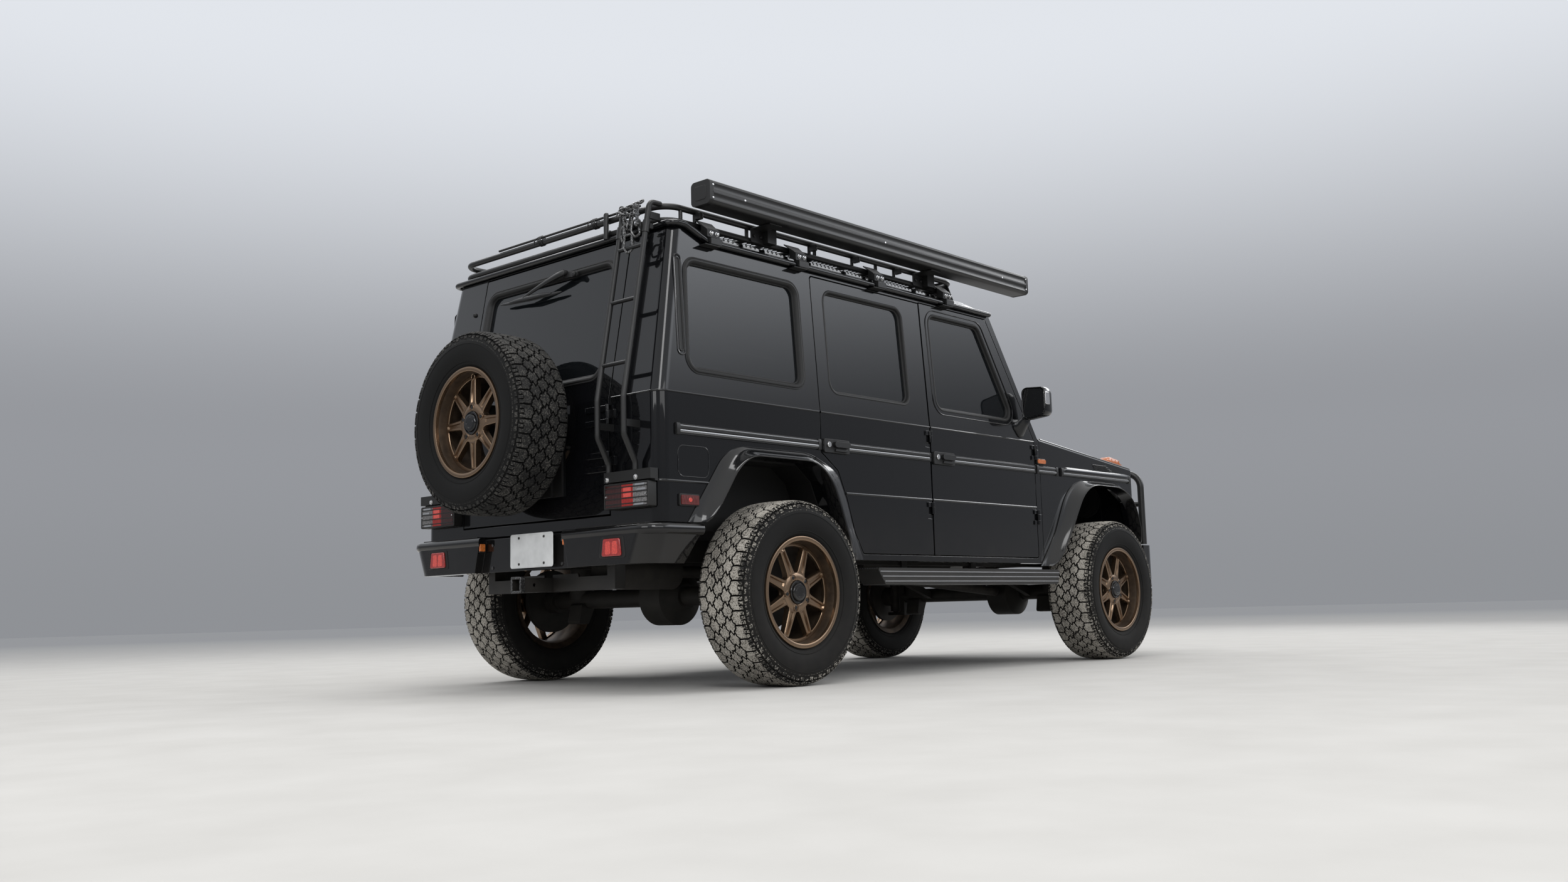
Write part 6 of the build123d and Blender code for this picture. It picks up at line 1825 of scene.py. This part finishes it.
for station in post_stations:
    block(mesh, (axle_x + station - 0.010, -0.790, 2.055), (axle_x + station + 0.010, -0.755, 2.0845))
piece("awning_brackets", mesh, satin, "body", "satin_black_metal", bevel=0.0015, merge=0.0)

# %% [markdown]
# ## The front
#
# The mirrors are rounded shells with a glass, a clear lamp along the outer edge and a foot on the door.
# Round headlamps with a bright reflector sit in the nose, and ribbed amber lamps stand on the fenders.

# %% Mirrors
# The mirror glass is dark grey: painted shade that stands in for the dark surroundings it would mirror
mirror_glass_painted_shade = finish("mirror_glass_painted_shade", grey(0.22), roughness=0.02, metallic=1.0)
grained(mirror_glass_painted_shade, 3.0, 0.02, 0.004)
mirror_low, mirror_high = 1.360, 1.550
mirror_inner, mirror_outer = 0.868, 1.022
# The shell, from the rim round the glass to its rounded front, as (inset, station)
mirror_rings = [(0.0090, 2.0520), (0.0085, 2.0420), (0.0055, 2.0395), (0.0020, 2.0405), (0.0, 2.0450),
                (0.0, 2.0900), (0.0030, 2.1120), (0.0100, 2.1300), (0.0220, 2.1430), (0.0380, 2.1495)]


def mirror_ring(side, inset, x, radius=0.034):
    loop = rounded_loop([(mirror_inner + inset, mirror_low + inset),
                         (mirror_outer - inset, mirror_low + 0.016 + inset),
                         (mirror_outer - inset, mirror_high - 0.012 - inset),
                         (mirror_inner + inset, mirror_high - inset)],
                        max(0.006, radius - inset * 0.5), 7)
    return [Vector((axle_x + x, side * u, v)) for u, v in loop]


for side, name in sides:
    door = f"door_front_{name}"
    mesh = shape()
    skin_rings(mesh, [mirror_ring(side, inset, x) for inset, x in mirror_rings])
    # The foot: a rounded triangle on the door that sweeps up into the shell
    foot = rounded_loop([(1.990, 1.352), (2.118, 1.352), (2.112, 1.318), (2.068, 1.266), (2.036, 1.266),
                         (1.996, 1.312)], 0.022, 5)
    at = side_wall(side)
    rings = []
    for height, size, lift in ((-0.001, 1.0, 0.0), (0.006, 0.99, 0.0), (0.014, 0.92, 0.004),
                               (0.024, 0.80, 0.014), (0.036, 0.68, 0.030), (0.048, 0.60, 0.046)):
        rings.append([at(2.060 + (u - 2.060) * size + lift * 0.5, 1.352 + (v - 1.352) * size + lift, height)
                      for u, v in foot])
    skin_rings(mesh, rings)
    made = piece(f"mirror_shell_{name}", mesh, paint, door, "body_paint", angle=50.0, merge=0.0)
    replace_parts(made, f"mirror_{name}")
    # The mirror's face takes the darkened glass, which is painted shade
    mesh = shape()
    skin_rings(mesh, [mirror_ring(side, inset, x)
                      for inset, x in ((0.0095, 2.0540), (0.0095, 2.0445), (0.0105, 2.0435))])
    made = piece(f"mirror_face_{name}", mesh, mirror_glass_painted_shade, door, "clear_lens", merge=0.0)
    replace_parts(made, f"mirror_{name}")
    mesh = shape()
    edge = [(mirror_outer - 0.0060, 1.512), (mirror_outer + 0.0012, 1.508), (mirror_outer + 0.0016, 1.440),
            (mirror_outer - 0.0060, 1.434)]
    skin_rings(mesh, [[Vector((axle_x + x, side * y, 1.4735 + (z - 1.4735) * size)) for y, z in edge]
                      for x, size in ((2.0445, 0.92), (2.0470, 1.0), (2.0850, 1.0), (2.0900, 0.90))])
    made = piece(f"mirror_lamp_{name}", mesh, lamp_silver, door, "clear_lens", bevel=0.002, merge=0.0)
    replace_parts(made, f"mirror_{name}")

# %% Headlamps
nose_back = axle_x + 3.290
# Parts that take the CAD lamp's place: name, finish, slot and profile of (axial, radial) pairs
headlamp_parts = [
    ("reflector", lamp_silver, "clear_lens", [(0.004, 0.0), (0.004, 0.1040), (0.0440, 0.1040),
                                              (0.0440, 0.0960),
                                              (0.0300, 0.0900), (0.0120, 0.0500), (0.0100, 0.0)]),
    ("bucket", moulded, "black_trim", [(-0.0005, 0.0), (-0.0005, 0.1045), (0.0135, 0.1045), (0.0135, 0.0)]),
    ("glass", lamp_glass, "clear_lens", [(0.0380, 0.0), (0.0380, 0.0975), (0.0430, 0.0970), (0.0520, 0.0820),
                                         (0.0575, 0.0560), (0.0600, 0.0280), (0.0610, 0.0)]),
]
headlamp_ring = [(0.0360, 0.1030), (0.0360, 0.1130), (0.0420, 0.1135), (0.0470, 0.1100), (0.0475, 0.1020),
                 (0.0440, 0.0960), (0.0400, 0.0960)]
bulb_shield = [(0.0100, 0.0), (0.0100, 0.0190), (0.0300, 0.0190), (0.0350, 0.0130), (0.0360, 0.0)]
for side, name in sides:
    centre = (nose_back, side * 0.535, 0.980)
    for label, material, slot, profile in headlamp_parts:
        mesh = shape()
        turn(mesh, profile, centre, (1, 0, 0), steps=56)
        made = piece(f"headlamp_{label}_{name}", mesh, material, "body", slot)
        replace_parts(made, "front_lamps")
    mesh = shape()
    turn(mesh, headlamp_ring, centre, (1, 0, 0), steps=56, closed=True)
    piece(f"headlamp_ring_{name}", mesh, bright, "body", "satin_black_metal")
    mesh = shape()
    turn(mesh, bulb_shield, centre, (1, 0, 0), steps=28)
    piece(f"headlamp_shield_{name}", mesh, dark_metal, "body", "satin_black_metal")

# %% Lamps on the fenders
def across_fender(mesh, side, outline, near, far):
    """An outline above the fender's slope, carried across it."""
    skin_rings(mesh, [[Vector((axle_x + u, side * y, fender_level(u) + v)) for u, v in outline]
                      for y in (near, far)])


base_outline = [(3.150, -0.006), (3.346, -0.006), (3.342, 0.006), (3.154, 0.006)]
rib_outline = [(3.172, 0.0215), (3.326, 0.0215), (3.322, 0.0260), (3.174, 0.0260)]
lamp_outline = [(3.158, 0.0), (3.338, 0.0), (3.320, 0.0300), (3.290, 0.0500), (3.192, 0.0520),
                (3.170, 0.0360)]
for side, name in sides:
    mesh = shape()
    across_fender(mesh, side, base_outline, 0.702, 0.792)
    made = piece(f"indicator_base_{name}", mesh, moulded, "body", "black_trim", bevel=0.002)
    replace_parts(made, "front_lamps")
    mesh = shape()
    lens_outline = rounded_loop(lamp_outline, 0.012, 4)
    rings = []
    for y, size in ((0.7080, 0.80), (0.7120, 0.93), (0.7200, 1.0), (0.7740, 1.0), (0.7820, 0.93),
                    (0.7860, 0.80)):
        rings.append([Vector((axle_x + 3.248 + (p.x - 3.248) * (0.5 + size / 2), side * y,
                              fender_level(p.x) + 0.004 + p.y * size)) for p in lens_outline])
    skin_rings(mesh, rings)
    # Ribs pressed in the lens: two across and one along
    for station in (3.204, 3.248, 3.292):
        side_block(mesh, side, (axle_x + station - 0.0022, axle_x + station + 0.0022), (0.7135, 0.7875),
                   (fender_level(station) + 0.006, fender_level(station) + 0.0450))
    across_fender(mesh, side, rib_outline, 0.7060, 0.7885)
    made = piece(f"indicator_{name}", mesh, lens_amber, "body", "clear_lens", merge=0.0)
    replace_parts(made, "front_lamps")

# %% Grille
nose_face = axle_x + 3.330


def grille_face(y, z, h=0.0):
    return Vector((nose_face + h, y, z))


mesh = shape()
frame_loop = rounded_box(-0.394, 0.394, 0.801, 1.104, 0.012, 4)
strip(mesh, frame_loop, [(-0.004, 0.0), (-0.004, 0.0235), (0.0, 0.0260), (0.019, 0.0260), (0.023, 0.0225),
                         (0.023, 0.0)], grille_face)
bar_heights = [0.8240 + 0.0514 * (k + 0.5) for k in range(5)]
for z in bar_heights:
    block(mesh, (nose_face + 0.0150, -0.368, z - 0.0090), (nose_face + 0.0195, 0.368, z + 0.0090))
piece("grille_face", mesh, paint, "body", "black_trim", bevel=0.0015, merge=0.0)
mesh = shape()
for k in range(52):
    y = -0.364 + 0.0143 * k
    block(mesh, (nose_face - 0.0060, y - 0.0012, 0.826), (nose_face - 0.0030, y + 0.0012, 1.079))
piece("grille_wires", mesh, satin, "body", "satin_black_metal", merge=0.0)
mesh = shape()
for z in bar_heights:
    block(mesh, (nose_face + 0.0190, -0.366, z + 0.0050), (nose_face + 0.0205, 0.366, z + 0.0072))
piece("grille_lines", mesh, dark_metal, "body", "satin_black_metal", merge=0.0)

# %% Windscreen gasket and wipers
screen_slope = (2.244 - 1.850) / 0.692
screen_out = Vector((1.0, 0.0, screen_slope)).normalized()


def screen_wall(y, z, h=0.0):
    return Vector((axle_x + 2.244 - screen_slope * (z - belt_z), y, z)) + screen_out * h


screen_loop = rounded_loop([(-0.715, 1.310), (0.715, 1.310), (0.672, 1.880), (-0.672, 1.880)], 0.070, 8)
mesh = shape()
strip(mesh, screen_loop, fat_gasket, screen_wall)
piece("gasket_windscreen", mesh, rubber, "body", "black_trim", merge=0.0)
mesh = shape()
for y in (0.500, -0.100):
    turn(mesh, [(-0.004, 0.0), (-0.004, 0.0160), (0.012, 0.0150), (0.022, 0.0110), (0.024, 0.0)],
         screen_wall(y, 1.284), screen_out,
         steps=20)
    arm = [(y, 1.284, 0.018), (y - 0.070, 1.306, 0.026), (y - 0.300, 1.352, 0.020)]
    tube(mesh, [screen_wall(*point) for point in arm], 0.0060, sides=8, flat=0.6)
    blade = [(y + 0.010, 1.334, 0.008), (y - 0.280, 1.348, 0.009), (y - 0.560, 1.356, 0.008)]
    tube(mesh, [screen_wall(*point) for point in blade], 0.0046, sides=8)
    bow = [(y - 0.060, 1.339, 0.010), (y - 0.180, 1.346, 0.019), (y - 0.400, 1.354, 0.019),
           (y - 0.500, 1.355, 0.010)]
    tube(mesh, [screen_wall(*point) for point in bow], 0.0034, sides=8)
piece("front_wipers", mesh, satin, "body", "black_trim", merge=0.0)

# %% Bonnet and front bumper details
mesh = shape()
# A row of slots at the bonnet's back lets air into the cabin
for side, _ in sides:
    for k in range(9):
        slot_start = 0.130 + 0.030 * k
        side_block(mesh, side, (axle_x + 2.4300, axle_x + 2.5100), (slot_start, 0.150 + 0.030 * k),
                   (1.2790, 1.2845))
piece("bonnet_vents", mesh, rubber, "bonnet", "black_trim", bevel=0.001)
mesh = shape()
for y in (-0.700, -0.480, 0.480, 0.700):
    turn(mesh, [(-0.004, 0.0), (-0.004, 0.0110), (0.0020, 0.0110), (0.0080, 0.0085), (0.0095, 0.0)],
         (2.2655, y, 0.640), (1, 0, 0), steps=6)
piece("front_bumper_bolts", mesh, gunmetal, "body", "satin_black_metal")

# %% [markdown]
# ## The cabin
#
# The seats are the only soft goods. Each cushion and back is a crowned pad: its faces swell between the
# seams, its sides pull in, and sewn channels run along it. They show faintly through the tinted glass.

# %% Padded seats
def swell(angle, power):
    """A cosine pushed towards a square, which gives a pad its crowned faces."""
    value = math.cos(angle)
    return math.copysign(abs(value) ** power, value)


def pad(mesh, middle, half, lean=0.0, channels=4, groove=0.010, around=64, levels=22):
    """A cushion with its top upwards, with sewn channels along x; lean tips it about y."""
    turned = Matrix.Rotation(lean, 4, "Y")
    rings = []
    for level in range(levels + 1):
        tilt = math.pi * (level / levels - 0.5) * 0.996
        ring = []
        for k in range(around):
            turn_by = 2 * math.pi * k / around
            x = half[0] * swell(tilt, 0.30) * swell(turn_by, 0.32)
            y = half[1] * swell(tilt, 0.30) * swell(turn_by - math.pi / 2, 0.32)
            z = half[2] * swell(tilt - math.pi / 2, 0.55)
            crown = 1.0 - 0.35 * (x / half[0]) ** 2 * 0.5 - 0.25 * (y / half[1]) ** 2 * 0.5
            z *= crown
            across = (y / half[1] + 1.0) * channels / 2
            near = abs(across - round(across))
            if z > 0 and 0.2 < across < channels - 0.2:
                z -= groove * math.exp(-(near * 2 * half[1] / channels / 0.008) ** 2)
            ring.append(Vector(middle) + turned @ Vector((x, y, z)))
        rings.append(ring)
    skin_rings(mesh, rings)


seat_top = 0.720
back_lean = math.radians(-98.6 + 180.0)
for number, (x, y, half, channels) in enumerate(((0.2005, 0.370, 0.250, 5), (0.2005, -0.370, 0.250, 5),
                                                 (-0.6595, 0.0, 0.620, 12))):
    mesh = shape()
    pad(mesh, (x - 0.005, y, seat_top + 0.246), (0.242, half - 0.004, 0.062), 0.0, channels)
    made = piece(f"seat_cushion_{number}", mesh, leather, "body", "seat_leather", angle=60.0)
    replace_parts(made, "seats")
    mesh = shape()
    pad(mesh, (x - 0.250, y, seat_top + 0.535), (0.318, half - 0.006, 0.052), back_lean, channels)
    made = piece(f"seat_back_{number}", mesh, leather, "body", "seat_leather", angle=60.0)
    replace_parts(made, "seats")
    mesh = shape()
    pad(mesh, (x - 0.300, y, seat_top + 0.958), (0.076, 0.118, 0.036), back_lean, 1, 0.0, around=40)
    made = piece(f"seat_headrest_{number}", mesh, leather, "body", "seat_leather", angle=60.0)
    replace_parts(made, "seats")
    mesh = shape()
    for dy in (-0.045, 0.045):
        tube(mesh, [(x - 0.288, y + dy, seat_top + 0.840), (x - 0.296, y + dy, seat_top + 0.905)], 0.006,
             sides=10)
    block(mesh, (x - 0.195, y - half + 0.045, seat_top + 0.002),
          (x + 0.195, y + half - 0.045, seat_top + 0.192))
    made = piece(f"seat_frame_{number}", mesh, trim, "body", "interior_plastic", bevel=0.006)
    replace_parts(made, "seats")
print("seats:", number + 1, "padded")
